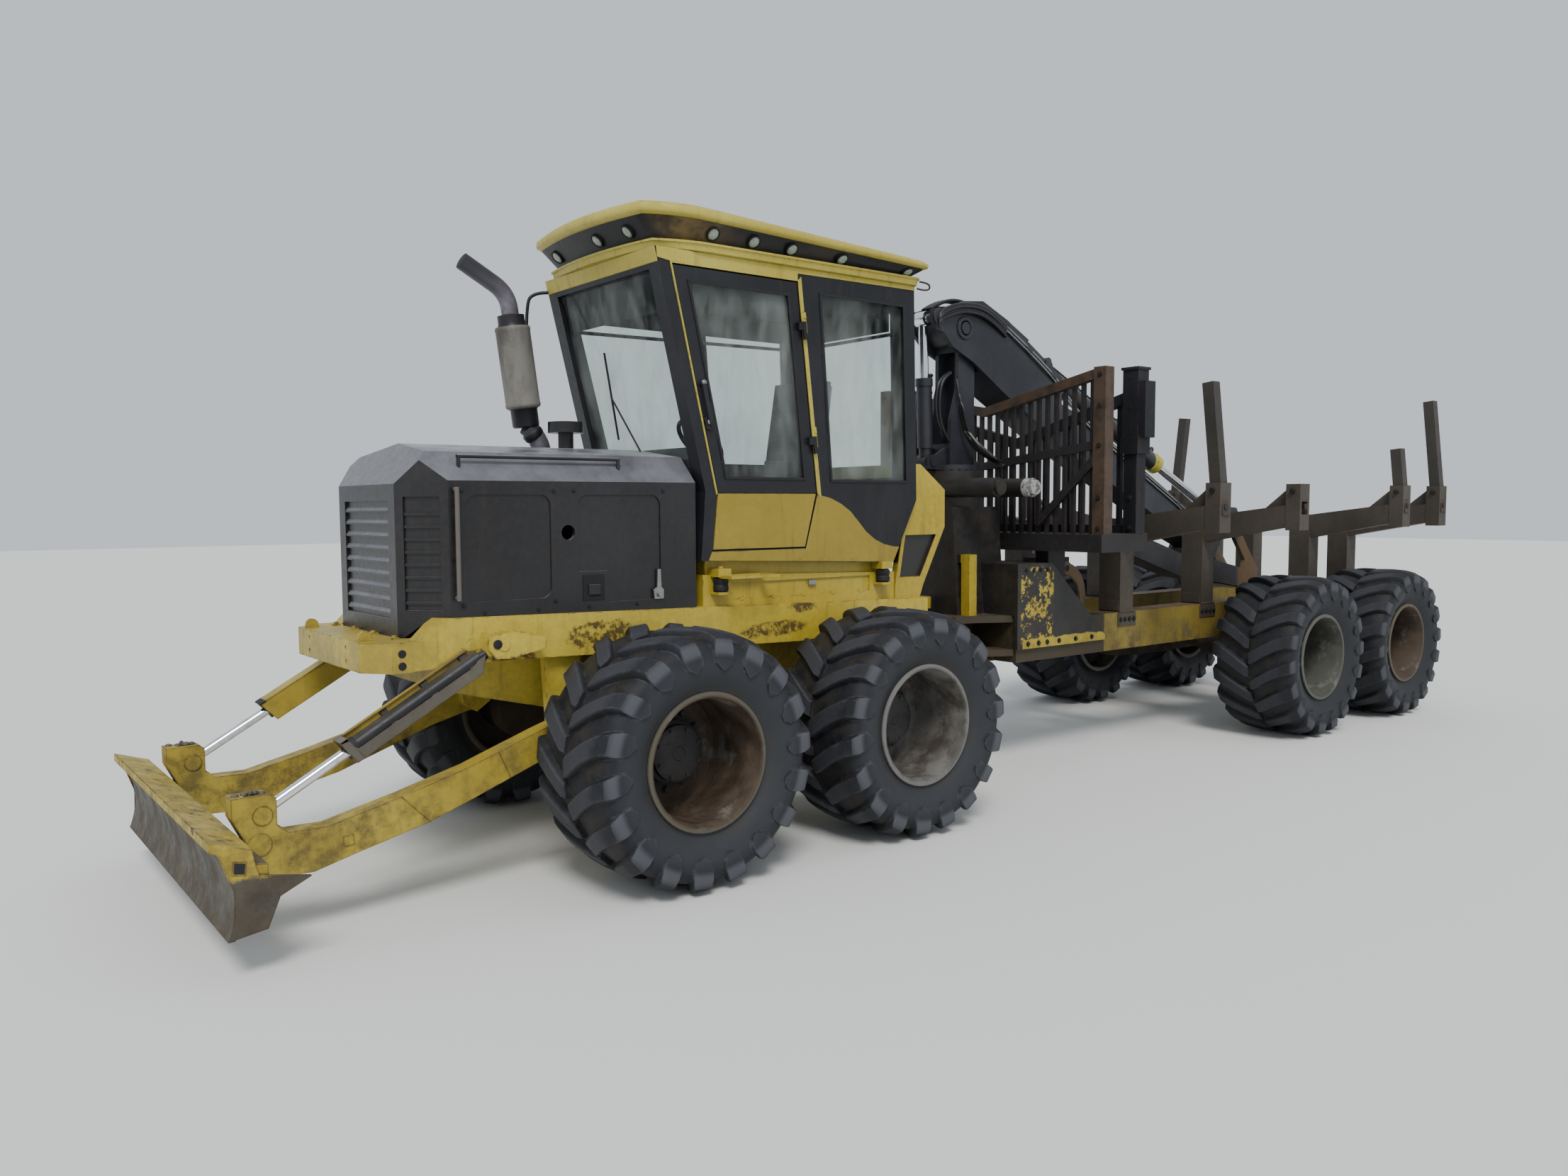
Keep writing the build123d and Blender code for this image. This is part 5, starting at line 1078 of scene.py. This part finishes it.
def add_cab_trim():
    """Yellow lower panels and lintels, window seals, the door's yellow edge and hinge plates, and the lining."""
    trim = Form()
    panes = [
        ([(-700, 2110), (-610, 3270), (-1340, 3270), (-1375, 2110)], 1, 651),
        ([(-700, 2110), (-610, 3270), (-1340, 3270), (-1375, 2110)], -1, 651),
        ([(110, 2110), (405, 3270), (-430, 3270), (-560, 2110)], -1, 651),
    ]
    for outline, side, y in panes:
        ring_frame(trim, outline, side, y, 16, 6)
    trim.piece("window_seals", seal, "front", 0.002, slot="black_paint")
    door = Form()
    ring_frame(door, [(110, 2120), (362, 3240), (-375, 3240), (-500, 2120)], 1, 651, 16, 6)
    door.piece("door_window_seal", seal, "door", 0.002, slot="black_paint")
    edge = Form()
    outline = [(168, 2040), (465, 3320), (-440, 3320), (-590, 2040)]
    ring_frame(edge, outline, 1, 650, -10, 7, closed=False)
    ring_frame(edge, [(-440, 3320), (-590, 2040), (-400, 2040), (-300, 3320)], 1, 650, -30, 5, stretch=(0, 1))
    for low in (2300, 2990):
        middle = -590 + 150 * (low + 75 - 2040) / 1280
        edge.side_plate([(middle - 44, low), (middle - 8, low + 4), (middle + 10, low + 146),
                         (middle - 26, low + 150)], 654, 661)
        for step in (28, 118):
            edge.hex_bolt(at(middle - 32 + step * 0.11, 660, low + step), (0, 1, 0), 0.008, 0.005)
    edge.piece("door_opening_edge", roof_yellow, "front", 0.002, slot="yellow_paint")

    panel = Form()
    low_edge = [(-1243, 1592), (232, 1650)]
    panel.side_plate([*CAB_CURVE, *low_edge, (207, 1700), (-498, 1700)], 648, 653)
    panel.side_plate([*CAB_CURVE, *low_edge, (207, 1700), (170, 2034)], -653, -648)
    panel.side_plate([(-1230, 1596), (225, 1648), (225, 1662), (-1230, 1612)], 652, 657)
    panel.tint = 1
    for y in (560, -572):
        panel.side_plate([(-1235, 1518), (205, 1556), (205, 1652), (-1235, 1598)], y, y + 12)
    panel.block((195, 207), (-566, 566), (1560, 1652))
    panel.block((-1240, -1228), (-566, 566), (1520, 1596))
    # The outer panels take the darker copy of the yellow, which is painted shade.
    panel.piece("cab_lower_panels", [cab_yellow_shaded, yellow], "front", 0.002, slot="yellow_paint")

    lintel = Form()
    lintel.side_plate([(-440, 3328), (474, 3328), (560, 3340), (566, 3400), (-1430, 3400), (-1430, 3372),
                       (-440, 3366)], 649, 656)
    lintel.side_plate([(-1430, 3372), (566, 3372), (566, 3400), (-1430, 3400)], -656, -649)
    x0, x1 = front_face(3318), front_face(3398)
    lintel.side_plate([(x0 - 4, 3318), (x0 + 6, 3318), (x1 + 6, 3400), (x1 - 4, 3400)], -648, 648)
    lintel.piece("roof_lintels", roof_yellow, "front", 0.003, slot="yellow_paint")

    lining = Form()
    for z0, z1 in ((3075, 3288),):
        a0, a1 = front_face(z0) - 62, front_face(z1) - 62
        lining.side_plate([(a0, z0), (a0 + 6, z0), (a1 + 6, z1), (a1, z1)], -540, 540)
    lining.block((-1365, -1355), (-480, 480), (3120, 3260))
    lining.block((-1340, 440), (-588, -582), (3150, 3300))
    lining.block((-1340, 440), (-560, 560), (3290, 3300))
    lining.round_bar(at(-1330, -560, 3105), at(380, -560, 3085), 0.012, 14)
    lining.round_bar(at(-1345, 540, 3095), at(-1345, -540, 3095), 0.012, 14)
    lining.piece("cab_lining", seal, "front", 0.002, slot="black_paint")

    latch = Form()
    latch.side_plate([(206, 2400), (246, 2404), (262, 2470), (236, 2476), (214, 2440)], 652, 668)
    latch.tint = 1
    latch.turned([(0.015, 0.0), (0.017, 0.004), (0.017, 0.010), (0.010, 0.014)], at(268, 668, 2668), (0, 1, 0), 20)
    latch.turned([(0.012, 0.0), (0.014, 0.004), (0.014, 0.009), (0.008, 0.012)], at(232, 668, 2446), (0, 1, 0), 20)
    latch.piece("door_latch", [seal, fitting], "door", 0.002, slot="black_paint")

    wiper = Form()
    base = at(front_face(2160) + 12, 180, 2160)
    wiper.round_bar(base, base + Vector((0.03, 0, 0.006)), 0.018, 16)
    arm_end = at(front_face(2640) + 26, -120, 2640)
    wiper.round_bar(base + Vector((0.022, 0, 0)), arm_end, 0.006, 10)
    wiper.round_bar(at(front_face(2380) + 20, -150, 2380), at(front_face(2900) + 20, -95, 2900), 0.007, 8)
    wiper.piece("windscreen_wiper", seal, "front", 0.001, slot="black_paint")


def ring_frame(form, outline, side, y, width, proud, closed=True, stretch=None):
    """A flat rim along an outline, width inwards (or outwards if negative) and proud of the face at y."""
    middle = (sum(x for x, _ in outline) / len(outline), sum(z for _, z in outline) / len(outline))
    count = len(outline)
    inner = []
    for i, (x, z) in enumerate(outline):
        before = outline[(i - 1) % count]
        after = outline[(i + 1) % count]
        d0 = Vector((x - before[0], z - before[1])).normalized()
        d1 = Vector((after[0] - x, after[1] - z)).normalized()
        n0 = Vector((-d0.y, d0.x))
        n1 = Vector((-d1.y, d1.x))
        toward = Vector((middle[0] - x, middle[1] - z))
        if n0.dot(toward) < 0:
            n0, n1 = -n0, -n1
        joint = (n0 + n1).normalized()
        step = width / max(0.35, joint.dot(n0))
        inner.append((x + joint.x * step, z + joint.y * step))
    first, last = stretch or (0, count if closed else count - 1)
    for i in range(first, last):
        j = (i + 1) % count
        quad = [outline[i], outline[j], inner[j], inner[i]]
        low, high = sorted((side * (y - 2), side * (y + proud)))
        form.side_plate(quad, low, high)


def add_rails():
    hoses("cab_grab_rail", [[(565, -640, 3330), (640, -690, 3330), (692, -702, 3250), (692, -702, 2500),
                             (640, -640, 2330), (560, -600, 2300)]],
          0.011, "front", frame_black)
    hoses("roof_tie_loops", [[(-1440, 690, 3425), (-1500, 715, 3420), (-1510, 720, 3380), (-1470, 700, 3370),
                              (-1440, 665, 3385)]],
          0.006, "front", dark_steel)


def add_hood_details():
    form = Form()
    for side in (1, -1):
        form.block((880, 1060), span(side, 611, 618), (1440, 1617))
        form.tint = 1
        form.block((905, 1035), span(side, 617, 624), (1460, 1598))
        form.tint = 0
        form.block((935, 1005), span(side, 623, 634), (1490, 1545))
        form.tint = 2
        form.side_plate([(530, 1445), (590, 1445), (596, 1500), (572, 1512), (568, 1612), (548, 1614), (544, 1512),
                         (528, 1496)], *span(side, 619, 632))
        form.round_bar(at(560, side * 630, 1470), at(560, side * 646, 1470), 0.012, 16)
        form.tint = 1
        for x, z in ((1200, 1468), (1710, 1470), (1200, 2050), (1710, 2050), (520, 2052), (1082, 2052)):
            form.hex_bolt(at(x, side * 620, z), (0, side, 0), 0.009, 0.006)
        for x in (700, 1000, 1300, 1600):
            form.hex_bolt(at(x, side * 620, 1428 if x > 900 else 1425), (0, side, 0), 0.008, 0.005)
    form.piece("hood_latches", [hood_black, seal, fitting], "front", 0.0015, slot="black_paint")

    nose = Form()
    for side in (1, -1):
        for z in (1195, 1255):
            nose.tint = 0
            nose.turned([(0.020, 0.0), (0.020, 0.004), (0.015, 0.006), (0.015, 0.0045), (0.003, 0.0045)],
                        at(2040, side * 639, z), (0, side, 0), 20)
        nose.tint = 1
        nose.side_plate([(1640, 1248), (1700, 1240), (1745, 1262), (1700, 1300), (1630, 1326)],
                        *sorted((side * 639, side * 642)))
        nose.tint = 0
        nose.turned([(0.024, 0.0), (0.024, 0.005), (0.016, 0.007), (0.003, 0.007)], at(1598, side * 761, 1278),
                    (0, side, 0), 24)
    nose.tint = 1
    for y in (430, -430):
        nose.side_plate([(2110, 1309), (2185, 1309), (2178, 1345), (2158, 1360), (2132, 1356), (2116, 1340)], y - 9,
                        y + 9)
    for y in (-455, -150, 150, 455):
        nose.block((1990, 2030), (y - 20, y + 20), (1308, 1318))
        nose.hex_bolt(at(2010, y, 1318), (0, 0, 1), 0.012, 0.008)
    nose.piece("nose_details", [seal, front_yellow_lit], "front", 0.002, slot="yellow_paint")

    riser = Form()
    for side in (1, -1):
        for x in (140, -1160):
            riser.tint = 0
            riser.turned([(0.030, 0.0), (0.044, 0.008), (0.046, 0.03), (0.040, 0.045), (0.046, 0.06), (0.044, 0.082),
                          (0.030, 0.09)],
                         at(x, side * 640, 1462), (0, 0, 1), 28)
            riser.tint = 1
            riser.block((x - 48, x + 48), span(side, 596, 688), (1448, 1463))
            riser.side_plate([(x - 46, 1552), (x + 46, 1552), (x + 46, 1600), (x - 46, 1600)], *span(side, 576, 684))
            riser.hex_bolt(at(x, side * 640, 1600), (0, 0, 1), 0.014, 0.01)
        riser.tint = 1
        for x in (-1000, -760, -520, -280, -40):
            riser.block((x - 14, x + 14), span(side, 597, 604), (1404, 1420))
        riser.tint = 2
        riser.block((-620, -560), span(side, 598, 606), (1470, 1500))
    riser.piece("riser_mounts", [seal, yellow, fitting], "front", 0.002, slot="yellow_paint")


def guard_point(along, up):
    """A point in the blade cylinder's side view, from its base pin."""
    run = math.hypot(1166, 675)
    return (1563 + along * 1166 / run + up * 675 / run, 1273 - along * 675 / run + up * 1166 / run)


def add_blade_guards():
    """The near cylinder lies in an open channel with rungs; the far one has a closed cover."""
    form = Form()

    def plate(corners, ys, tint):
        form.tint = tint
        form.side_plate([guard_point(*corner) for corner in corners], *sorted(ys))

    def tube(start, end, radius, y, tint):
        form.tint = tint
        form.round_bar(at(guard_point(*start)[0], y, guard_point(*start)[1]),
                       at(guard_point(*end)[0], y, guard_point(*end)[1]), radius, 28)

    for side in (1, -1):
        y = side * 700
        tube((88, 0), (130, 0), 0.027, y, 2)
        tube((128, 0), (885, 0), 0.044, y, 2)
        tube((838, 0), (886, 0), 0.0492, y, 3)
        form.tint = 2
        form.turned([(0.048, -0.030), (0.048, 0.030)], at(1563, y, 1273), (0, 1, 0), 28)
    # The near channel: two side rails, a floor, rungs across its open top and an end collar.
    rail = [(104, 26), (160, 60), (905, 66), (880, -48), (160, -58)]
    plate([(104, 10), (150, 8), (190, -6), (850, -4), (866, 30), (905, 40), (884, -60), (160, -62)],
          (700 + 53, 700 + 45), 0)
    plate(rail, (700 - 53, 700 - 45), 1)
    plate([(150, 56), (905, 62), (906, 70), (150, 66)], (700 - 53, 700 - 33), 1)
    plate([(160, -52), (880, -48), (880, -56), (160, -60)], (700 - 52, 700 + 52), 2)
    form.tint = 2
    for along in (170, 400, 630):
        ends = []
        for y, low, high in ((750, -14, -4), (650, 46, 58)):
            ends.append([at(x, y, z) for x, z in (guard_point(along, low), guard_point(along + 36, low),
                                                  guard_point(along + 36, high), guard_point(along, high))])
        form.prism(*ends)
    plate([(866, 52), (905, 60), (908, 70), (868, 70)], (700 - 55, 700 + 55), 0)
    for y in (700 + 55, 700 - 47):
        plate([(868, 70), (908, 70), (890, -60), (850, -60)], (y, y - 8), 0)
    # The far cover: a folded sheet, closed on top.
    cover = [(104, 6), (160, 66), (905, 66), (872, -64), (160, -64)]
    plate(cover, (-700 + 53, -700 + 46), 4)
    plate(cover, (-700 - 53, -700 - 46), 4)
    plate([(150, 58), (905, 60), (905, 68), (150, 66)], (-700 - 53, -700 + 53), 4)
    plate([(868, 58), (905, 58), (905, 68), (868, 68)], (-700 - 55, -700 + 55), 3)
    form.piece("blade_cylinder_guards", [guard_steel, guard_worn, frame_black, seal, arm_yellow], "blade_barrel",
               0.0025,
               replaces=("blade_barrels",), slot="yellow_paint")


def add_blade_details():
    form = Form()
    for side in (1, -1):
        form.tint = 0
        for x0, z0, x1, z1 in ((1962, 436, 2103, 583), (1540, 590, 1600, 730)):
            form.side_plate([(x0 - 4, z0), (x0 + 4, z0), (x1 + 4, z1), (x1 - 4, z1)], *span(side, 749, 754))
        form.side_plate([(2330, 398), (2378, 392), (2384, 440), (2336, 446)], *span(side, 749, 757))
        form.turned([(0.052, 0.0), (0.052, 0.006), (0.030, 0.008), (0.003, 0.008)], at(2745, side * 751, 470),
                    (0, side, 0), 28)
        form.turned([(0.066, 0.0), (0.066, 0.008), (0.060, 0.012), (0.040, 0.012), (0.040, 0.004), (0.003, 0.004)],
                    at(1150, side * 751, 800), (0, side, 0), 32)
        # A square opening in each end plate, framed by a weld; a dark plate inside it is painted shade.
        form.side_plate([(2893, 452), (2948, 462), (2942, 522), (2888, 512)], *span(side, 1117, 1124))
        form.tint = 1
        form.side_plate([(2899, 461), (2940, 469), (2936, 513), (2895, 505)], *span(side, 1122, 1126))
        form.tint = 2
        for x, z, r in ((2718, 700, 16), (2750, 706, 22), (2790, 702, 18), (2832, 703, 20), (2768, 712, 12)):
            y = side * (700 + (r * 7) % 30 - 12)
            form.turned([(0.9 * r / 1000, -0.012), (r / 1000, -0.004), (0.8 * r / 1000, 0.004),
                         (0.35 * r / 1000, 0.008)], at(x, y, z - 6), (0, 0, 1), 10)
    form.piece("blade_arm_details", [arm_yellow, seal, guard_steel], "blade", 0.002, slot="yellow_paint")


def add_crane_hoses():
    mast = []
    for side in (1, -1):
        for i in range(3):
            y = side * (84 + 13 * i)
            bow = 34 * (i % 2) + 12 * i
            mast.append([(-2352, y, 2950), (-2290 + bow, y, 2900), (-2252 + bow, y, 2760), (-2262 + bow, y, 2600),
                         (-2300, y, 2480), (-2338, y, 2446)])
    for i in range(3):
        y = 150 + i * 21
        mast.append([(-2400, 124, 2900 - i * 60), (-2390, y + 10, 2790 - i * 40), (-2420, y + 14, 2560),
                     (-2500, y + 30, 2420), (-2640, y + 46, 2330), (-2770, y + 60, 2285)])
    hoses("mast_hoses", mast, 0.0135, "mast")
    pipes = []
    for i in range(2):
        y = 215 + i * 30
        pipes.append([(-2440, y - 40, 2520), (-2470, y - 8, 2450), (-2600, y, 2372), (-2790, y + 4, 2262)])
    hoses("mast_pipes", pipes, 0.011, "mast", fitting)
    boom = []
    for i in range(4):
        y = 40 + i * 27
        boom.append([(-2540, y, 3472), (-2760, y, 3457), (-3000, y + 4, 3362), (-3200, y + 10, 3252)])
        boom.append([(-2290, -y, 3432), (-2420, -y, 3507), (-2620, -y, 3532), (-2800, -y, 3472), (-3000, -y, 3372)])
    for i in range(4):
        y = 176 + 8 * (i % 2)
        lift = 24 * i
        boom.append([(-2900, 168, 3330 - lift), (-2700, y, 3452 - lift), (-2420, y + 6, 3462 - lift * 0.8),
                     (-2220, y + 4, 3405 - lift * 0.9),
                     (-2142, y - 2, 3330 - lift * 0.5), (-2172, 166, 3262 - lift * 0.2)])
    hoses("boom_head_hoses", boom, 0.0135, "boom")
    lines = []
    for i in range(2):
        lines.append([(-2880, 172, 3345 - i * 30), (-3120, 178, 3215 - i * 30), (-3480, 178, 2998 - i * 30),
                      (-3640, 150, 2880 - i * 30),
                      (-3960, 141, 2640 - i * 30), (-4770, 141, 2235 - i * 30), (-5420, 141, 1920 - i * 30),
                      (-5560, 141, 1830 - i * 30)])
    hoses("boom_pipes", lines, 0.008, "boom", fitting)
    blocks = Form()
    blocks.side_plate([(-2210, 3226), (-2140, 3240), (-2136, 3292), (-2204, 3284)], 158, 176)
    blocks.side_plate([(-2960, 3268), (-2860, 3322), (-2872, 3362), (-2972, 3306)], 159, 180)
    for station, height in ((-3160, 3170), (-3460, 2985)):
        blocks.side_plate([(station - 30, height - 22), (station + 30, height + 12), (station + 16, height + 34),
                           (station - 44, height)], 159, 188)
    for station, height in ((-4200, 2500), (-4770, 2214), (-5300, 1962)):
        blocks.side_plate([(station - 24, height - 22), (station + 24, height - 2), (station + 16, height + 24),
                           (station - 32, height + 4)], 129, 151)
    for side in (1, -1):
        blocks.turned([(0.085, 0.0), (0.085, 0.010), (0.076, 0.013), (0.056, 0.013), (0.056, 0.0)],
                      at(-2450, side * 160, 3280), (0, side, 0), 36)
        blocks.turned([(0.060, 0.0), (0.060, 0.010), (0.052, 0.013), (0.003, 0.013)], at(-2170, side * 160, 3340),
                      (0, side, 0), 32)
    blocks.piece("boom_clamps", crane_black, "boom", 0.003, slot="black_paint")


def add_rear_details():
    """Foot plates and bolts of the bunks, pocket pins, rack bolts and the slewing ring's bolts."""
    form = Form()
    for station in (-3890, -5060, -6890, -7650):
        for side in (1, -1):
            form.tint = 0
            form.block((station - 118, station + 118), span(side, 599, 609), (985, 1092))
            form.block((station - 104, station + 104), span(side, 596, 612), (1098, 1112))
            for x in (-92, 92):
                form.side_plate([(station + x - 6, 1110), (station + x + 6, 1110), (station + x * 0.97 + 6, 1190),
                                 (station + x * 0.97 - 6, 1190)], *span(side, 410, 590))
            form.tint = 1
            for x in (-88, -30, 30, 88):
                form.hex_bolt(at(station + x, side * 609, 1040), (0, side, 0), 0.015, 0.011)
            form.turned([(0.026, 0.0), (0.026, 0.010), (0.018, 0.016), (0.003, 0.016)],
                        at(station, side * 1450, 1935), (0, side, 0), 20)
            form.round_bar(at(station + 76, side * 1390, 2062), at(station + 96, side * 1390, 2062), 0.020, 16)
    for side in (1, -1):
        form.tint = 1
        for z in (1790, 2010, 2380, 2660, 2880):
            form.hex_bolt(at(-2819, side * 1100, z), (1, 0, 0), 0.014, 0.010)
            form.hex_bolt(at(-3194, side * 1100, min(z, 2900)), (1, 0, 0), 0.014, 0.010)
        for x in (-2640, -2760, -2860, -3000, -3200, -3400):
            form.hex_bolt(at(x, side * 630, 935), (0, side, 0), 0.014, 0.010)
        for x in (-2620, -2700, -2780, -2860):
            form.hex_bolt(at(x, side * 630, 1480), (0, side, 0), 0.013, 0.009)
    for i in range(24):
        a = 2 * math.pi * i / 24
        form.hex_bolt(at(-2480 + 230 * math.cos(a), 230 * math.sin(a), 2220), (0, 0, 1), 0.011, 0.008)
    form.piece("rear_fixings", [bunk_brown, dark_steel], "rear", 0.002, slot="worn_brown_paint")

    # A feed pipe and its two ports along the fold cylinder.
    start, end = at(-3420, 0, 3100), at(-6200, 0, 1840)
    along = (end - start).normalized()
    up = Vector((-along.z, 0, along.x))
    if up.z < 0:
        up = -up
    ports = Form()
    for reach in (0.20, 1.78):
        spot = start + along * reach + up * 0.070
        ports.round_bar(spot, spot + up * 0.034, 0.022, 20)
        ports.hex_bolt(spot + up * 0.034, up, 0.016, 0.012)
    foot = start + along * 0.20 + up * 0.098
    top = start + along * 1.78 + up * 0.098
    swept_tube(ports, [foot, foot + along * 0.05, foot + along * 0.4, top - along * 0.4, top - along * 0.05, top],
               lambda i: 0.009, 12)
    for reach in (0.6, 1.2):
        spot = start + along * reach + up * 0.072
        ports.round_bar(spot, spot + up * 0.036, 0.016, 8)
    ports.piece("fold_cylinder_pipe", dark_steel, "fold_barrel", 0.001, slot="black_paint")


def add_seat():
    """A padded seat: crowned cushion and backrest with piped seams over the plain pan."""
    cushion = padded_block((-948, -424), (-256, 256), (2000, 2122), (0, 0))
    place_mesh("seat_cushion", cushion, "front", 0, 50)
    back = padded_block((-66, 66), (-236, 236), (2090, 2790), (-960, 2080))
    place_mesh("seat_backrest", back, "front", 0, 50)


def padded_block(xs, ys, zs, lean):
    """A closed pad with rounded, crowned faces; lean moves its top back about a (station, height) foot."""
    steps = 12
    points, faces, index = [], [], {}

    def swell(u):
        return 1 - abs(u) ** 4

    def place(u, v, w):
        size = [(high - low) / 2 for low, high in (xs, ys, zs)]
        middle = [(low + high) / 2 for low, high in (xs, ys, zs)]
        pull = 0.93 + 0.07 * min(swell(u) + swell(v), swell(v) + swell(w), swell(u) + swell(w)) / 2
        x = middle[0] + size[0] * u * pull
        y = middle[1] + size[1] * v * pull
        z = middle[2] + size[2] * w * pull
        if lean[1]:
            x += lean[0] + 30 - (z - lean[1]) * 0.14
        seam = 1.0 if abs(abs(v) - 0.55) > 0.05 else 0.94
        if not lean[1]:
            z = middle[2] + (z - middle[2]) * seam
        else:
            x += (1 - seam) * 40 * (-1 if u > 0 else 1)
        return at(x, y, z)

    def grid(fix, value):
        for i in range(steps):
            for j in range(steps):
                quad = []
                for di, dj in ((0, 0), (1, 0), (1, 1), (0, 1)):
                    a = 2 * (i + di) / steps - 1
                    b = 2 * (j + dj) / steps - 1
                    key = [0, 0, 0]
                    rest = [axis for axis in range(3) if axis != fix]
                    key[fix], key[rest[0]], key[rest[1]] = value, round(a, 4), round(b, 4)
                    key = tuple(key)
                    if key not in index:
                        index[key] = len(points)
                        points.append(place(*key))
                    quad.append(index[key])
                faces.append(tuple(quad))

    for fix in range(3):
        for value in (-1, 1):
            grid(fix, value)
    return new_mesh("pad", points, faces, seat_cloth)


dressing = [
    ("front_frame", front_yellow_lit, 0.006), ("front_axle", axle_dirt, 0.012), ("hood", hood_black, 0.014),
    ("hood_grille", hood_black, 0.003), ("engine_block", dark_steel, 0.01), ("cab_shell", frame_black, 0.008),
    ("cab_riser", yellow, 0.006), ("cab_glass", glass, 0), ("seat", seat_cloth, 0.03), ("console", plastic, 0.01),
    ("rear_box", box_yellow, 0.006), ("cab_door", frame_black, 0.006), ("door_panel", cab_yellow_shaded, 0.005),
    ("door_glass", glass, 0), ("blade", blade_paint, 0.006), ("blade_arms", arm_yellow, 0.006),
    ("blade_barrels", arm_yellow, 0.003), ("blade_rods", chrome, 0.001), ("rear_frame", rear_yellow, 0.006),
    ("rear_axle", axle_dirt, 0.012), ("crane_base", crane_base_paint, 0.006), ("headboard", headboard_paint, 0.004),
    ("load_gate", rack_black, 0.004), ("bunks", bunk_brown, 0.006), ("stakes", stake_brown, 0.006),
    ("steer_barrel_left", frame_black, 0.003), ("steer_barrel_right", frame_black, 0.003),
    ("steer_rod_left", chrome, 0.001), ("steer_rod_right", chrome, 0.001), ("crane_mast", crane_black, 0.008),
    ("lift_barrel", crane_black, 0.003), ("lift_rod", chrome, 0.001), ("main_boom", crane_black, 0.008),
    ("fold_barrel", fold_paint, 0.003), ("fold_rod", chrome, 0.001), ("stick", stick_paint, 0.008),
    ("hanger", crane_black, 0.005), ("grapple_head", crane_black, 0.005), ("jaw_front", jaw_tan, 0.005),
    ("jaw_rear", jaw_tan, 0.005),
]

add_camera()
add_studio()
for node, finish_material, soft in dressing:
    dress(node, finish_material, soft)
add_wheels()
add_roof()
add_exhaust()
add_cab_trim()
add_rails()
add_hood_details()
add_blade_guards()
add_blade_details()
add_crane_hoses()
add_rear_details()
add_seat()
